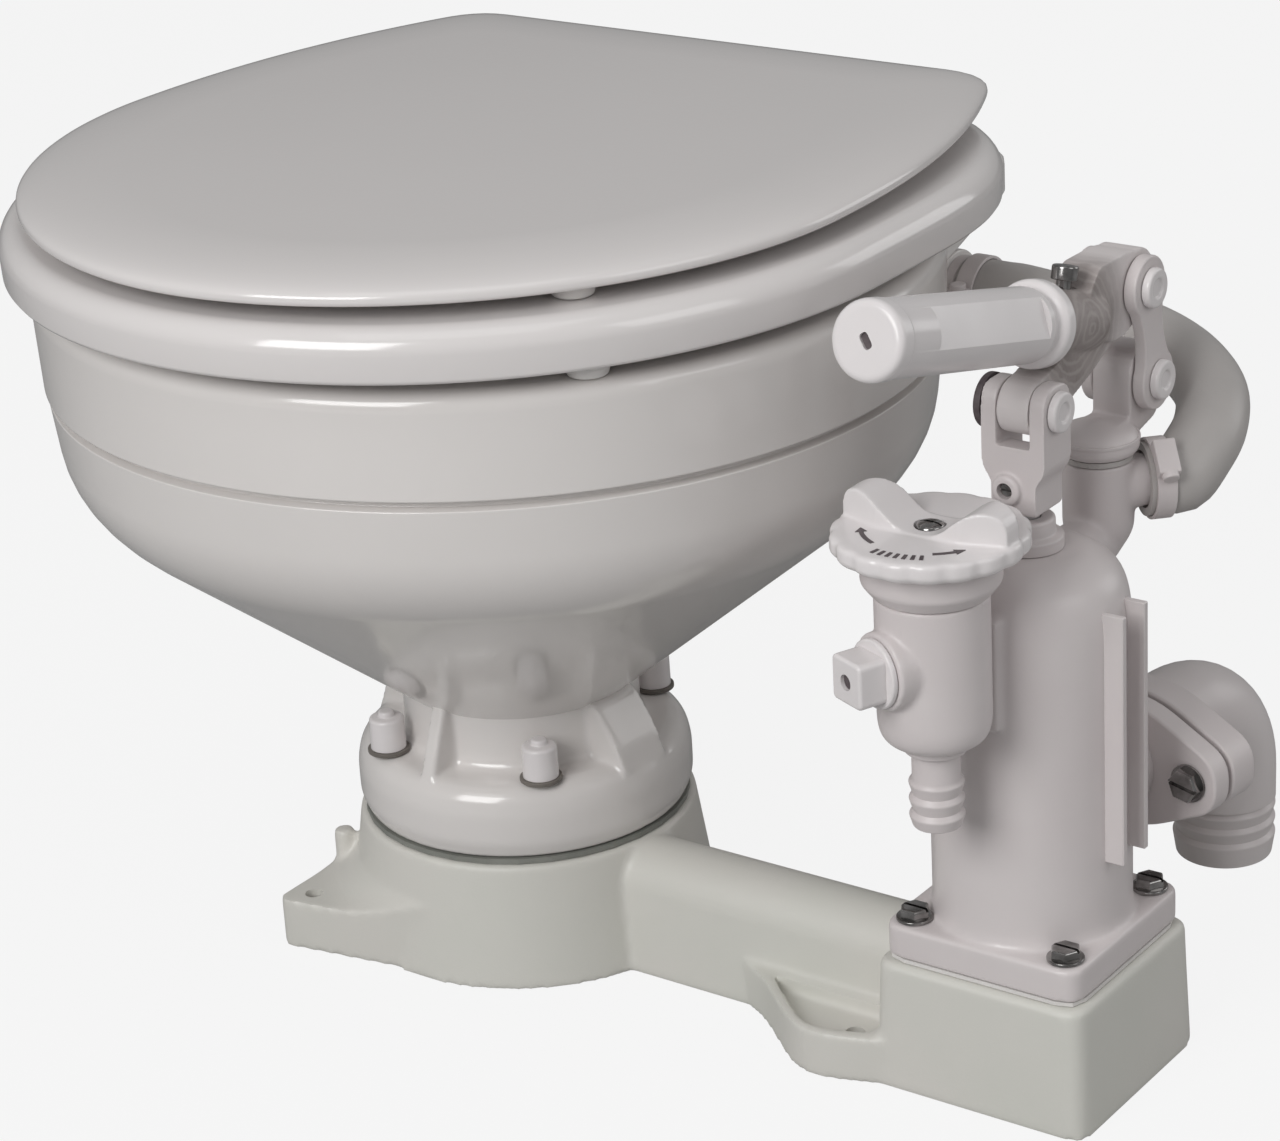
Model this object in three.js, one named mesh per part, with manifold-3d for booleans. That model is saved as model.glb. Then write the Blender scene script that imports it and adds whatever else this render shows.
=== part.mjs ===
// A manual marine toilet: a china bowl with seat and lid on a moulded base, with a lever-driven piston pump
// beside it. Millimetres, +Z up, +X from the bowl toward the pump, -Y to the front. The origin is on the floor
// under the bowl.

import * as THREE from "three";
import { mergeVertices, toCreasedNormals } from "three/addons/utils/BufferGeometryUtils.js";
import Module from "manifold-3d";

const wasm = await Module();
wasm.setup();

// Fits and finish
const GAP = 0.3; // between pieces that touch, slide or turn
const FINE = 32; // facets round the bowl and its ring
const CYLINDER_FACETS = 24; // facets round the pump's barrel
const ROUND = 16; // facets round the pump's other pieces
const SMALL = 8; // facets round screws and pins
const CHAMFER = 3; // a round smaller than this is one flat facet
const SEAT_FACETS = 44; // facets round the seat and the lid
const CREASE = Math.PI / 5; // sharper edges than this stay sharp

// Base casting
const RING_FOOT_R = 72; // ring under the bowl, at the floor
const RING_TOP_R = 65;
const RING_H = 48;
const RING_BORE_R = 45;
const FLOOR_T = 12; // floor of the waterway
const LUG_X = 66; // corner lugs on the side away from the pump
const LUG_Y = 79;
const LUG_H = 20;
const LUG_SWEEP = 8; // round where a lug runs up into the ring
const LUG_RISE = 32; // top of that run
const LUG_INNER_Y = 30;
const LUG_HOLE_IN = 11; // floor hole inside the lug's edges
const LUG_PEG_R = 4;
const LUG_PEG_H = 14;
const PIPE_R = 16; // waterway from the bowl to the pump
const PIPE_TOP = 47.8;
const PIPE_FOOT_HALF = 19;
const PIPE_BORE_R = 11;
const BLOCK_FOOT_HALF = 42.6; // square block under the pump
const BLOCK_TOP_HALF = 41;
const BLOCK_H = 48.8;
const BLOCK_CORNER = 8;
const SUMP_HALF = 25; // square well in the block
const LOBE_H = 18; // fixing lobes beside the block
const LOBE_REACH = 49;
const LOBE_LENGTH = 70;
const LOBE_RUN = 42; // from the lobe's start to its full reach
const LOBE_SIDE = 14; // straight outer side after that
const LOBE_RIM = 4.5;
const LOBE_POCKET = 6;
const LOBE_HOLE_OUT = 14; // floor hole beyond the waterway's foot
const LOBE_HOLE_IN = 12; // and before the block
const FLOOR_HOLE_R = 3.5;

// Bowl
const GASKET_T = 2;
const BOWL_H = 221.9;
const FOOT_R = 64.5;
const FOOT_H = 28.4;
const COLUMN_R = 45.5;
const NECK_Z = 51.4; // where the column opens into the cone, above the bowl's underside
const SHOULDER_R = 157.2; // where the cone turns up into the side
const SHOULDER_Z = 145.5;
const GROOVE_Z = 182.4; // line under the rim band
const GROOVE_DEPTH = 1.4;
const BAND_R = 166.4;
const WALL = 8.5;
const RIM_OPENING_R = 140;
const RIM_LIP_H = 22;
const RIM_LIP_T = 8;
const DECK_T = 14.5; // flat behind the rim that carries the hinges
const DECK_FRONT_HALF = 150;
const DECK_FRONT_Y = 62;
const DECK_BACK_HALF = 115;
const DECK_BEHIND_HINGE = 17;
const DECK_CORNER = 24;
const FIN_W = 6; // two thin fins and two wide ribs between the foot and the cone
const FIN_REACH = 61;
const FIN_RISE = 30;
const RIB_W = 24;
const RIB_REACH = 62;
const RIB_RISE = 22;
const BOWL_BOLT_R = 55.5; // circle of the four bolts through the foot
const BOWL_BOLT_ANGLES = [-46, -120, 134, 60];
const BOLT_SHANK_R = 3.4;
const BOLT_CAP_R = 6.8;
const BOLT_CAP_H = 15;
const BOLT_DEPTH = 22; // of the shank in the ring
const WASHER_R = 8;
const WASHER_T = 1.6;
const INLET_Y = 130; // rinse water inlet
const INLET_DROP = 40.5; // below the rim
const INLET_BOSS_R = 15;
const INLET_BOSS_OUT = 17.1301; // of the boss past the rim band beside it
const INLET_BORE_R = 7;
const SPUD_FLANGE_T = 4;
const SPUD_LENGTH = 28;

// Seat and lid
const SEAT_HALF = 170.5;
const SEAT_FRONT = 175.7; // front half-length, from the widest line
const SEAT_MID_Y = -4;
const SEAT_BEFORE_HINGE = 18; // its back edge from the hinge line
const SEAT_BACK_HALF = 108;
const SEAT_T = 19;
const SEAT_EDGE = 8.5;
const SEAT_HOLE_HALF = 105;
const SEAT_HOLE_LENGTH = 130;
const SEAT_HOLE_Y = -20;
const LID_HALF = 160.5;
const LID_FRONT = 163.5;
const LID_MID_Y = -12;
const LID_BEFORE_HINGE = 12;
const LID_BACK_HALF = 121;
const LID_T = 5.4;
const LID_EDGE = 2.4;
const LID_DOME = 4.2; // pillowed top: nearly flat, with a roll down to the edge
const LID_ROLL = 9; // power of that roll
const BUMPER_R = 8;
const SEAT_BUMPER_T = 5.9;
const SEAT_BUMPER_ANGLES = [-40.6, -139.4, 36.6, 143.4];
const LID_BUMPER_T = 5.4;
const LID_BUMPER_IN = 46.5; // from the lid's side
const LID_BUMPER_Y = -100;
const HINGE_DROP = 1; // pin below the seat's top face
const HINGE_X = 70;
const HINGE_PIN_R = 3;
const KNUCKLE_R = 6.5;
const KNUCKLE_W = 11;
const LEAF_T = 2.6;
const LEAF_LENGTH = 46;
const POST_FLANGE_R = 12;
const POST_FLANGE_T = 3;
const POST_STUD_R = 3;
const HINGE_NUT_R = 10;
const HINGE_NUT_T = 8;
const HINGE_NUT_CLEAR = 5.6; // between the nut and the bowl's band

// Pump: its axis, then heights from the plate that stands on the block
const PUMP_X = 230;
const PUMP_Y = -9;
const PLATE_GASKET_T = 1.4;
const PLATE_HALF = 38.6;
const PLATE_T = 12.2;
const PLATE_SCREW_AT = 30;
const PLATE_SCREW_R = 2.3;
const PLATE_SCREW_HEAD_R = 6.6;
const PLATE_SCREW_HEAD_T = 4.6;
const PLATE_SCREW_DEPTH = 18;
const CYLINDER_R = 35;
const CYLINDER_BORE_R = 30;
const CYLINDER_H = 115;
const DOME_H = 21;
const DOME_TOP_R = 13;
const RAIL_REACH = 41; // bracket rails down the side
const RAIL_HALF_GAP = 6.2;
const RAIL_T = 2.6;
const RAIL_H = 92;
const RAIL_DROP = 5.5; // above the cylinder's shoulder line
const PAD_Y = -37; // flat that carries the inlet valve
const PAD_HALF = 12;
const PAD_H = 40;
const RISER_Y = 49; // upright beside the dome that leads to the bowl hose
const RISER_R = 12.5;
const RISER_BORE_R = 8.5;
const RISER_RISE = 15; // above the dome
const RISER_H = 30;
const OUTLET_ANGLE = 45;
const OUTLET_DROP = 10; // axis below the riser's top
const OUTLET_REACH = 26;
const OUTLET_BARB_R = 9.4;
const OUTLET_BORE_R = 6;
const PORT_ANGLE = 8; // discharge port, from straight back toward the far side
const PORT_Z = 40; // above the plate
const PORT_R = 20;
const PORT_BORE_R = 15;
const PORT_FACE = 53.2;
const FLANGE_T = 9;
const FLANGE_R = 24;
const EAR_R = 11;
const EAR_AT = 35;
const JOKER_RIM_T = 1.5;
const JOKER_R = 12.5;
const JOKER_LENGTH = 27;
const ELBOW_FLANGE_T = 13;
const ELBOW_R = 19;
const ELBOW_BEND_R = 30;
const ELBOW_LEG = 115.5; // its down leg, from the pump's axis
const ELBOW_DROP = 65; // its open end below the port
const BARB_PITCH = 6;
const BARB_DEPTH = 1.3;

// Inlet valve, on its own axis in front of the pump
const VALVE_X = -3;
const VALVE_R = 19.2;
const VALVE_FOOT_R = 13;
const VALVE_BORE_R = 14.5;
const VALVE_H = 54;
const VALVE_DROP = 29; // underside below the cylinder's shoulder line
const COLLAR_R = 23.4;
const COLLAR_H = 14;
const KNOB_R = 33;
const KNOB_T = 7.5;
const KNOB_SCALLOPS = 18;
const KNOB_SCALLOP = 0.8; // depth of the grips round its edge
const WING_REACH = 31;
const WING_RISE = 12;
const WING_HALF = 10.6;
const WING_CROWN = 8; // its highest line, from the tip
const WING_DIP = 7; // half of the low middle
const SPINDLE_R = 4;
const INTAKE_R = 9.5;
const INTAKE_BORE_R = 6.5;
const INTAKE_H = 30.5;
const INTAKE_SOCKET = 7; // its thread in the housing
const INTAKE_COLLAR_T = 2.5;
const INTAKE_RINGS = 3;
const PLUG_ANGLE = 247;
const PLUG_Z = 31; // above the housing's underside
const PLUG_BOSS_R = 13.5;
const PLUG_FLANGE_R = 12;
const PLUG_HEAD = 16;
const PLUG_THREAD_R = 7;

// Lever mechanism, all in the plane of the pump's axis and the riser; y runs back from the pump's axis
const GLAND_H = 10.7;
const GLAND_R = 12.5;
const GLAND_NECK_R = 9.5;
const ROD_R = 4.4;
const ROD_STOP = 3; // clevis above the gland with the lever down
const CLEVIS_PIN_Z = 36; // pin above the clevis's underside
const CLEVIS_HALF = 12;
const CLEVIS_NECK_HALF = 8.5;
const CLEVIS_DEPTH = 9;
const CLEVIS_SLOT = 12; // slot floor below the pin
const CLEVIS_SCREW_X = -2;
const CLEVIS_SCREW_Z = 9;
const CLEVIS_SCREW_R = 2.4;
const EYE_HALF = 6; // the lever's eye between the clevis arms
const EYE_R = 9.4;
const PIN_R = 3.4;
const PIN_CAP_R = 7;
const PIN_CAP_T = 2.8;
const ARM_Y = 64; // from the clevis pin to the lever's upper pin
const ARM_Z = 24;
const LINK_Y = 6; // from the upper pin to the post pin
const LINK_Z = -35;
const LINK_EYE_R = 11;
const LINK_WAIST = 6.6;
const LINK_T = 4.7;
const SWING = 50; // lever travel in degrees
const RISE_PER_RADIAN = 66.4; // piston rise for the lever's swing
const HUB_HALF = 7.5;
const HUB_EYE_R = 13;
const SOCKET_R = 11.5;
const SOCKET_LENGTH = 33;
const GRIP_TILT = 14.3; // grip above level with the lever down
const GRIP_Y = 9; // where the grip's axis leaves the socket, from the clevis pin
const GRIP_Z = 26;
const STEM_R = 6;
const STEM_IN_SOCKET = 28;
const STEM_IN_GRIP = 90;
const GRIP_R = 12.9;
const GRIP_COLLAR_R = 15;
const GRIP_COLLAR_W = 6;
const GRIP_LENGTH = 101.5;
const GRIP_FLAT = 11.9;
const CAP_LENGTH = 7.5;
const CAP_R = 13.3;
const SET_SCREW_AT = 14.7; // along the socket
const SET_SCREW_TOP = 19;
const SET_SCREW_R = 2.6;
const SET_SCREW_HEAD_R = 4.6;
const SET_SCREW_HEAD_T = 5;
const COVER_R = 14.4;
const COVER_H = 11;
const TOP_VALVE_T = 1.8;
const POST_HALF = 7.4;
const POST_DEPTH = 11.5;

// Piston and its valves
const PISTON_T = 18;
const PISTON_Z = 3; // above the plate with the lever down
const PISTON_GROOVE = 3;
const FLAP_R = 14;
const FLAP_T = 5;

// Hose from the pump to the bowl
const HOSE_R = 13;
const HOSE_STRAIGHT = 9.8; // level run over the pump's barb, along each of X and Y
const HOSE_BORE_R = 10.2;
const HOSE_STEPS = 22;
const HOSE_SIDES = 10;
const HOSE_WAY = [ // points of its curve, as shares of the way from its start to its end along X, Y and Z
  [-0.097, 0.222, 0.17],
  [-0.089, 0.385, 0.385],
  [-0.036, 0.555, 0.61],
  [0.075, 0.7, 0.768],
  [0.217, 0.822, 0.857],
  [0.391, 0.92, 0.904],
  [0.589, 0.979, 0.946],
];
const CLAMP_T = 1.1;
const CLAMP_W = 7;
const CLAMP_AT = 5.5; // from each end of the hose

// Places that follow from the sizes above
const gasketZ = RING_H + GAP;
const bowlZ = gasketZ + GASKET_T + GAP;
const footTop = bowlZ + FOOT_H;
const rimZ = bowlZ + BOWL_H;
const hingeY = Math.sqrt((BAND_R + HINGE_NUT_R + HINGE_NUT_CLEAR) ** 2 - HINGE_X ** 2);
const deckBackY = hingeY + DECK_BEHIND_HINGE;
const seatBackY = hingeY - SEAT_BEFORE_HINGE;
const lidBackY = hingeY - LID_BEFORE_HINGE;
const seatZ = rimZ + SEAT_BUMPER_T + 2 * GAP;
const lidZ = seatZ + SEAT_T + LID_BUMPER_T + 2 * GAP;
const hingeZ = seatZ + SEAT_T - HINGE_DROP;
const plateGasketZ = BLOCK_H + GAP;
const plateZ = plateGasketZ + PLATE_GASKET_T + GAP;
const plateTop = plateZ + PLATE_T;
const shoulderZ = plateTop + CYLINDER_H;
const domeZ = shoulderZ + DOME_H;
const riserZ = domeZ + RISER_RISE;
const glandZ = domeZ + GAP;
const clevisZ = glandZ + GLAND_H + ROD_STOP;
const pinZ = clevisZ + CLEVIS_PIN_Z;
const coverZ = riserZ + TOP_VALVE_T + 2 * GAP;
const valveZ = shoulderZ - VALVE_DROP;
const valveTop = valveZ + VALVE_H;
const valveY = PAD_Y - GAP - VALVE_R - 0.5;
const collarTop = valveTop + GAP + COLLAR_H;
const knobZ = collarTop + GAP;
const portZ = plateTop + PORT_Z;
const pistonZ = plateTop + PISTON_Z;
const outletZ = riserZ - OUTLET_DROP;
const inletZ = rimZ - INLET_DROP;
const inletBossX = Math.sqrt(BAND_R ** 2 - INLET_Y ** 2) + INLET_BOSS_OUT;
const elbowFace = PORT_FACE + JOKER_RIM_T + 2 * GAP;
const topPin = [ARM_Y, pinZ + ARM_Z];
const postPin = [ARM_Y + LINK_Y, pinZ + ARM_Z + LINK_Z];

const rad = THREE.MathUtils.degToRad;

// ---- Shapes ----

// A closed geometry as a solid with its faces out.
function solid(geometry) {
  const bare = geometry.index ? geometry.clone() : geometry;
  bare.deleteAttribute("normal");
  bare.deleteAttribute("uv");
  const merged = mergeVertices(bare, 1e-4);
  const triVerts = new Uint32Array(merged.index.array);
  const vertProperties = new Float32Array(merged.attributes.position.array);
  if (signedVolume(vertProperties, triVerts) < 0) {
    for (let i = 0; i < triVerts.length; i += 3) {
      [triVerts[i + 1], triVerts[i + 2]] = [triVerts[i + 2], triVerts[i + 1]];
    }
  }
  return new wasm.Manifold(new wasm.Mesh({ numProp: 3, vertProperties, triVerts }));
}

function signedVolume(vertices, triangles) {
  const [a, b, c] = [new THREE.Vector3(), new THREE.Vector3(), new THREE.Vector3()];
  let sum = 0;
  for (let i = 0; i < triangles.length; i += 3) {
    a.fromArray(vertices, 3 * triangles[i]);
    b.fromArray(vertices, 3 * triangles[i + 1]);
    c.fromArray(vertices, 3 * triangles[i + 2]);
    sum += a.dot(b.cross(c));
  }
  return sum / 6;
}

const union = (...bodies) => bodies.flat().reduce((a, b) => a.add(b));
const cut = (body, ...tools) => tools.flat().reduce((a, b) => a.subtract(b), body);

// Corners [x, y, cut]: one with a cut is rounded by a curve that starts and ends that far from it, or near
// the middle of a side that is too short for it.
function rounded(corners, closed = true) {
  const points = [];
  corners.forEach(([x, y, size = 0], i) => {
    const corner = new THREE.Vector2(x, y);
    const inner = closed || (i > 0 && i < corners.length - 1);
    if (!size || !inner) {
      points.push([x, y]);
      return;
    }
    const before = new THREE.Vector2(...corners.at(i - 1).slice(0, 2)).sub(corner);
    const after = new THREE.Vector2(...corners[(i + 1) % corners.length].slice(0, 2)).sub(corner);
    const from = corner.clone().addScaledVector(before, Math.min(size / before.length(), 0.48));
    const to = corner.clone().addScaledVector(after, Math.min(size / after.length(), 0.48));
    const curve = new THREE.QuadraticBezierCurve(from, corner, to);
    for (const p of curve.getPoints(size < CHAMFER ? 1 : 2)) points.push([p.x, p.y]);
  });
  return points;
}

// A profile of [radius, height] corners revolved about Z: one that starts off the axis closes on itself.
function lathe(corners, segments = ROUND) {
  const ring = corners[0][0] > 0;
  const profile = rounded(corners, ring);
  if (ring) profile.push(profile[0]);
  const geometry = new THREE.LatheGeometry(profile.map(([r, z]) => new THREE.Vector2(r, z)), segments);
  return solid(geometry.rotateX(Math.PI / 2));
}

function extrude(corners, depth, basis, offset) {
  const shape = new THREE.Shape(rounded(corners).map(([x, y]) => new THREE.Vector2(x, y)));
  const geometry = new THREE.ExtrudeGeometry(shape, { depth, bevelEnabled: false });
  return solid(geometry.applyMatrix4(new THREE.Matrix4().makeBasis(...basis)).translate(...offset));
}

const AXIS_X = new THREE.Vector3(1, 0, 0);
const AXIS_Y = new THREE.Vector3(0, 1, 0);
const AXIS_Z = new THREE.Vector3(0, 0, 1);

// An outline extruded along one axis: [x, y] along Z, [y, z] along X and [x, z] along Y.
const prismZ = (corners, z0, z1) => extrude(corners, z1 - z0, [AXIS_X, AXIS_Y, AXIS_Z], [0, 0, z0]);
const prismX = (corners, x0, x1) => extrude(corners, x1 - x0, [AXIS_Y, AXIS_Z, AXIS_X], [x0, 0, 0]);
const prismY = (corners, y0, y1) => extrude(corners, y1 - y0, [AXIS_X, AXIS_Z, AXIS_Y], [0, y0, 0]);

function box(x0, x1, y0, y1, z0, z1) {
  const geometry = new THREE.BoxGeometry(x1 - x0, y1 - y0, z1 - z0);
  return solid(geometry.translate((x0 + x1) / 2, (y0 + y1) / 2, (z0 + z1) / 2));
}

// The placement that takes +Z to a direction and the origin to a point.
function aimed(geometry, point, direction) {
  const turn = new THREE.Quaternion().setFromUnitVectors(AXIS_Z, new THREE.Vector3(...direction).normalize());
  return geometry.applyQuaternion(turn).translate(...point);
}

// A cylinder, or a cone, between two points.
function rod(from, to, r0, r1 = r0, segments = SMALL) {
  const span = new THREE.Vector3(...to).sub(new THREE.Vector3(...from));
  const geometry = new THREE.CylinderGeometry(r1, r0, span.length(), segments).rotateX(Math.PI / 2);
  return solid(aimed(geometry.translate(0, 0, span.length() / 2), from, span.toArray()));
}

// A round hole of at least this radius between two points: its flats stand clear of a round piece inside.
function drill(from, to, radius, segments = SMALL) {
  const wide = radius / Math.cos(Math.PI / segments);
  return rod(from, to, wide, wide, segments);
}

// A profile revolved about a line through a point.
function turned(corners, point, direction, segments = SMALL) {
  const ring = corners[0][0] > 0;
  const profile = rounded(corners, ring);
  if (ring) profile.push(profile[0]);
  const geometry = new THREE.LatheGeometry(profile.map(([r, z]) => new THREE.Vector2(r, z)), segments);
  return solid(aimed(geometry.rotateX(Math.PI / 2), point, direction));
}

// A skin over rings of equally many points, each end closed by a fan about its middle.
function loft(rings) {
  const n = rings[0].length;
  const middle = (ring) => [0, 1, 2].map((k) => ring.reduce((sum, p) => sum + p[k], 0) / n);
  const points = [...rings.flat(), middle(rings[0]), middle(rings.at(-1))];
  const last = (rings.length - 1) * n;
  const index = [];
  for (let i = 0; i < n; i++) {
    const next = (i + 1) % n;
    for (let k = 0; k < last; k += n) {
      index.push(k + i, k + next, k + next + n, k + i, k + next + n, k + i + n);
    }
    index.push(next, i, last + n, last + i, last + next, last + n + 1);
  }
  const geometry = new THREE.BufferGeometry();
  geometry.setAttribute("position", new THREE.Float32BufferAttribute(points.flat(), 3));
  return solid(geometry.setIndex(index));
}

const square = (half, corner) => [
  [half, -half, corner],
  [half, half, corner],
  [-half, half, corner],
  [-half, -half, corner],
];

// A square block with a draft and a small round at its top edge.
function draftedBlock(footHalf, topHalf, corner, z0, z1, edge = 1.2) {
  const at = (half, z) => rounded(square(half, corner)).map(([x, y]) => [x, y, z]);
  return loft([at(footHalf, z0), at(topHalf, z1 - edge), at(topHalf - edge, z1)]);
}

// A hose tail's barbed outside as [radius, distance] corners.
function barbs(radius, from, to) {
  const corners = [];
  for (let d = from; d + BARB_PITCH <= to + 1e-6; d += BARB_PITCH) {
    corners.push([radius - BARB_DEPTH, d], [radius, d + 0.3 * BARB_PITCH]);
  }
  corners.push([radius - BARB_DEPTH, to]);
  return corners;
}

// ---- Base ----

function fixingLobe(side) {
  const tip = -LOBE_REACH;
  const start = -BLOCK_FOOT_HALF - LOBE_LENGTH;
  const lobe = [
    [start, 0],
    [start, -PIPE_FOOT_HALF + 1],
    [start + 12, -PIPE_FOOT_HALF - 5, 8],
    [start + LOBE_RUN, tip, 14],
    [start + LOBE_RUN + LOBE_SIDE, tip, 8],
    [-BLOCK_TOP_HALF + BLOCK_CORNER, -BLOCK_TOP_HALF],
    [-BLOCK_TOP_HALF + BLOCK_CORNER, 0],
  ];
  const pocket = [
    [start + 15, -PIPE_FOOT_HALF - 2, 1],
    [start + LOBE_RUN, tip + LOBE_RIM, 10],
    [start + LOBE_RUN + LOBE_SIDE - 2, tip + LOBE_RIM, 5],
    [-BLOCK_FOOT_HALF - 2, -BLOCK_TOP_HALF + LOBE_RIM / 2, 3],
    [-BLOCK_FOOT_HALF - 2, -PIPE_FOOT_HALF - 2, 2],
  ];
  const place = (corners) => corners.map(([x, y, c]) => [PUMP_X + x, PUMP_Y + side * y, c]);
  const hole = [PUMP_X - BLOCK_FOOT_HALF - LOBE_HOLE_IN, PUMP_Y - side * (PIPE_FOOT_HALF + LOBE_HOLE_OUT)];
  return {
    body: prismZ(place(lobe), 0, LOBE_H),
    tools: [
      prismZ(place(pocket), LOBE_H - LOBE_POCKET, LOBE_H + 1),
      drill([...hole, -1], [...hole, LOBE_H + 1], FLOOR_HOLE_R),
    ],
  };
}

function cornerLug(side) {
  const outline = [
    [-LUG_X, side * LUG_INNER_Y],
    [-LUG_X, side * LUG_Y, 8],
    [0, side * RING_FOOT_R],
    [0, side * LUG_INNER_Y],
  ];
  const beyond = LUG_X + LUG_Y;
  const sweep = lathe([
    [0, 0],
    [beyond, 0],
    [beyond, LUG_H],
    [RING_FOOT_R + LUG_SWEEP / 2, LUG_H, LUG_SWEEP],
    [RING_TOP_R, LUG_RISE],
    [0, LUG_RISE],
  ]);
  const hole = [-LUG_X + LUG_HOLE_IN, side * (LUG_Y - LUG_HOLE_IN)];
  const peg = [-LUG_X + LUG_PEG_R, side * (LUG_Y / 2)];
  return {
    body: union(
      prismZ(outline, 0, LUG_RISE).intersect(sweep),
      rod([...peg, 0], [...peg, LUG_H + LUG_PEG_H], LUG_PEG_R),
    ),
    tools: [drill([...hole, -1], [...hole, LUG_H + 1], FLOOR_HOLE_R)],
  };
}

function base() {
  const ring = lathe([[0, 0], [RING_FOOT_R, 0], [RING_TOP_R, RING_H, 1.5], [0, RING_H]], FINE);
  const springZ = PIPE_TOP - PIPE_R;
  const arch = [[-PIPE_FOOT_HALF, 0]];
  for (let a = 180; a >= 0; a -= 12) {
    arch.push([PIPE_R * Math.cos(rad(a)), springZ + PIPE_R * Math.sin(rad(a))]);
  }
  arch.push([PIPE_FOOT_HALF, 0]);
  const pipe = prismX(arch.map(([y, z]) => [PUMP_Y + y, z]), 0, PUMP_X - BLOCK_TOP_HALF + 2);
  const block = draftedBlock(BLOCK_FOOT_HALF, BLOCK_TOP_HALF, BLOCK_CORNER, 0, BLOCK_H)
    .translate([PUMP_X, PUMP_Y, 0]);
  const lobes = [1, -1].map(fixingLobe);
  const lugs = [-1, 1].map(cornerLug);
  const boreZ = FLOOR_T + PIPE_BORE_R + 2;
  const bolts = BOWL_BOLT_ANGLES.map((a) => {
    const at = [BOWL_BOLT_R * Math.cos(rad(a)), BOWL_BOLT_R * Math.sin(rad(a))];
    return drill([...at, RING_H - BOLT_DEPTH - 2 * GAP], [...at, RING_H + 1], BOLT_SHANK_R + GAP);
  });
  const screws = plateCorners().map(([x, y]) => {
    const at = [PUMP_X + x, PUMP_Y + y];
    return drill([...at, BLOCK_H - PLATE_SCREW_DEPTH - GAP], [...at, BLOCK_H + 1], PLATE_SCREW_R + GAP);
  });
  return cut(
    union(ring, pipe, block, ...lobes.map((l) => l.body), ...lugs.map((l) => l.body)),
    drill([0, 0, FLOOR_T], [0, 0, RING_H + 1], RING_BORE_R, FINE),
    drill([0, PUMP_Y, boreZ], [PUMP_X, PUMP_Y, boreZ], PIPE_BORE_R),
    prismZ(square(SUMP_HALF, 4).map(([x, y, c]) => [PUMP_X + x, PUMP_Y + y, c]), FLOOR_T, BLOCK_H + 1),
    bolts,
    screws,
    lobes.flatMap((l) => l.tools),
    lugs.flatMap((l) => l.tools),
  );
}

// ---- Bowl ----

// The outside of the china from the foot's top to the band, as [radius, height] corners.
const bowlSide = [
  [COLUMN_R, bowlZ + FOOT_H + 6, 4],
  [COLUMN_R, bowlZ + NECK_Z, 9],
  [SHOULDER_R, bowlZ + SHOULDER_Z, 15],
  [BAND_R - GROOVE_DEPTH, bowlZ + GROOVE_Z - 0.6],
];

// The same line moved inward by the wall.
function inside(corners, wall) {
  return corners.map(([r, z, size = 0], i) => {
    const normal = (from, to) => new THREE.Vector2(from[1] - to[1], to[0] - from[0]).normalize();
    const before = normal(corners[Math.max(i - 1, 0)], corners[Math.max(i, 1)]);
    const last = corners.length - 1;
    const after = normal(corners[Math.min(i, last - 1)], corners[Math.min(i + 1, last)]);
    const mid = before.clone().add(after).normalize();
    const step = wall / mid.dot(before);
    return [r + mid.x * step, z + mid.y * step, size];
  });
}

function bowlRib(angle, width, reach, height) {
  const profile = [[COLUMN_R - 4, footTop - 3], [reach, footTop - 3], [reach - 3, footTop + 6, 2]];
  profile.push([COLUMN_R + 3, footTop + height, 4], [COLUMN_R - 4, footTop + height + 3]);
  return prismY(profile, -width / 2, width / 2).rotate([0, 0, angle]);
}

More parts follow.
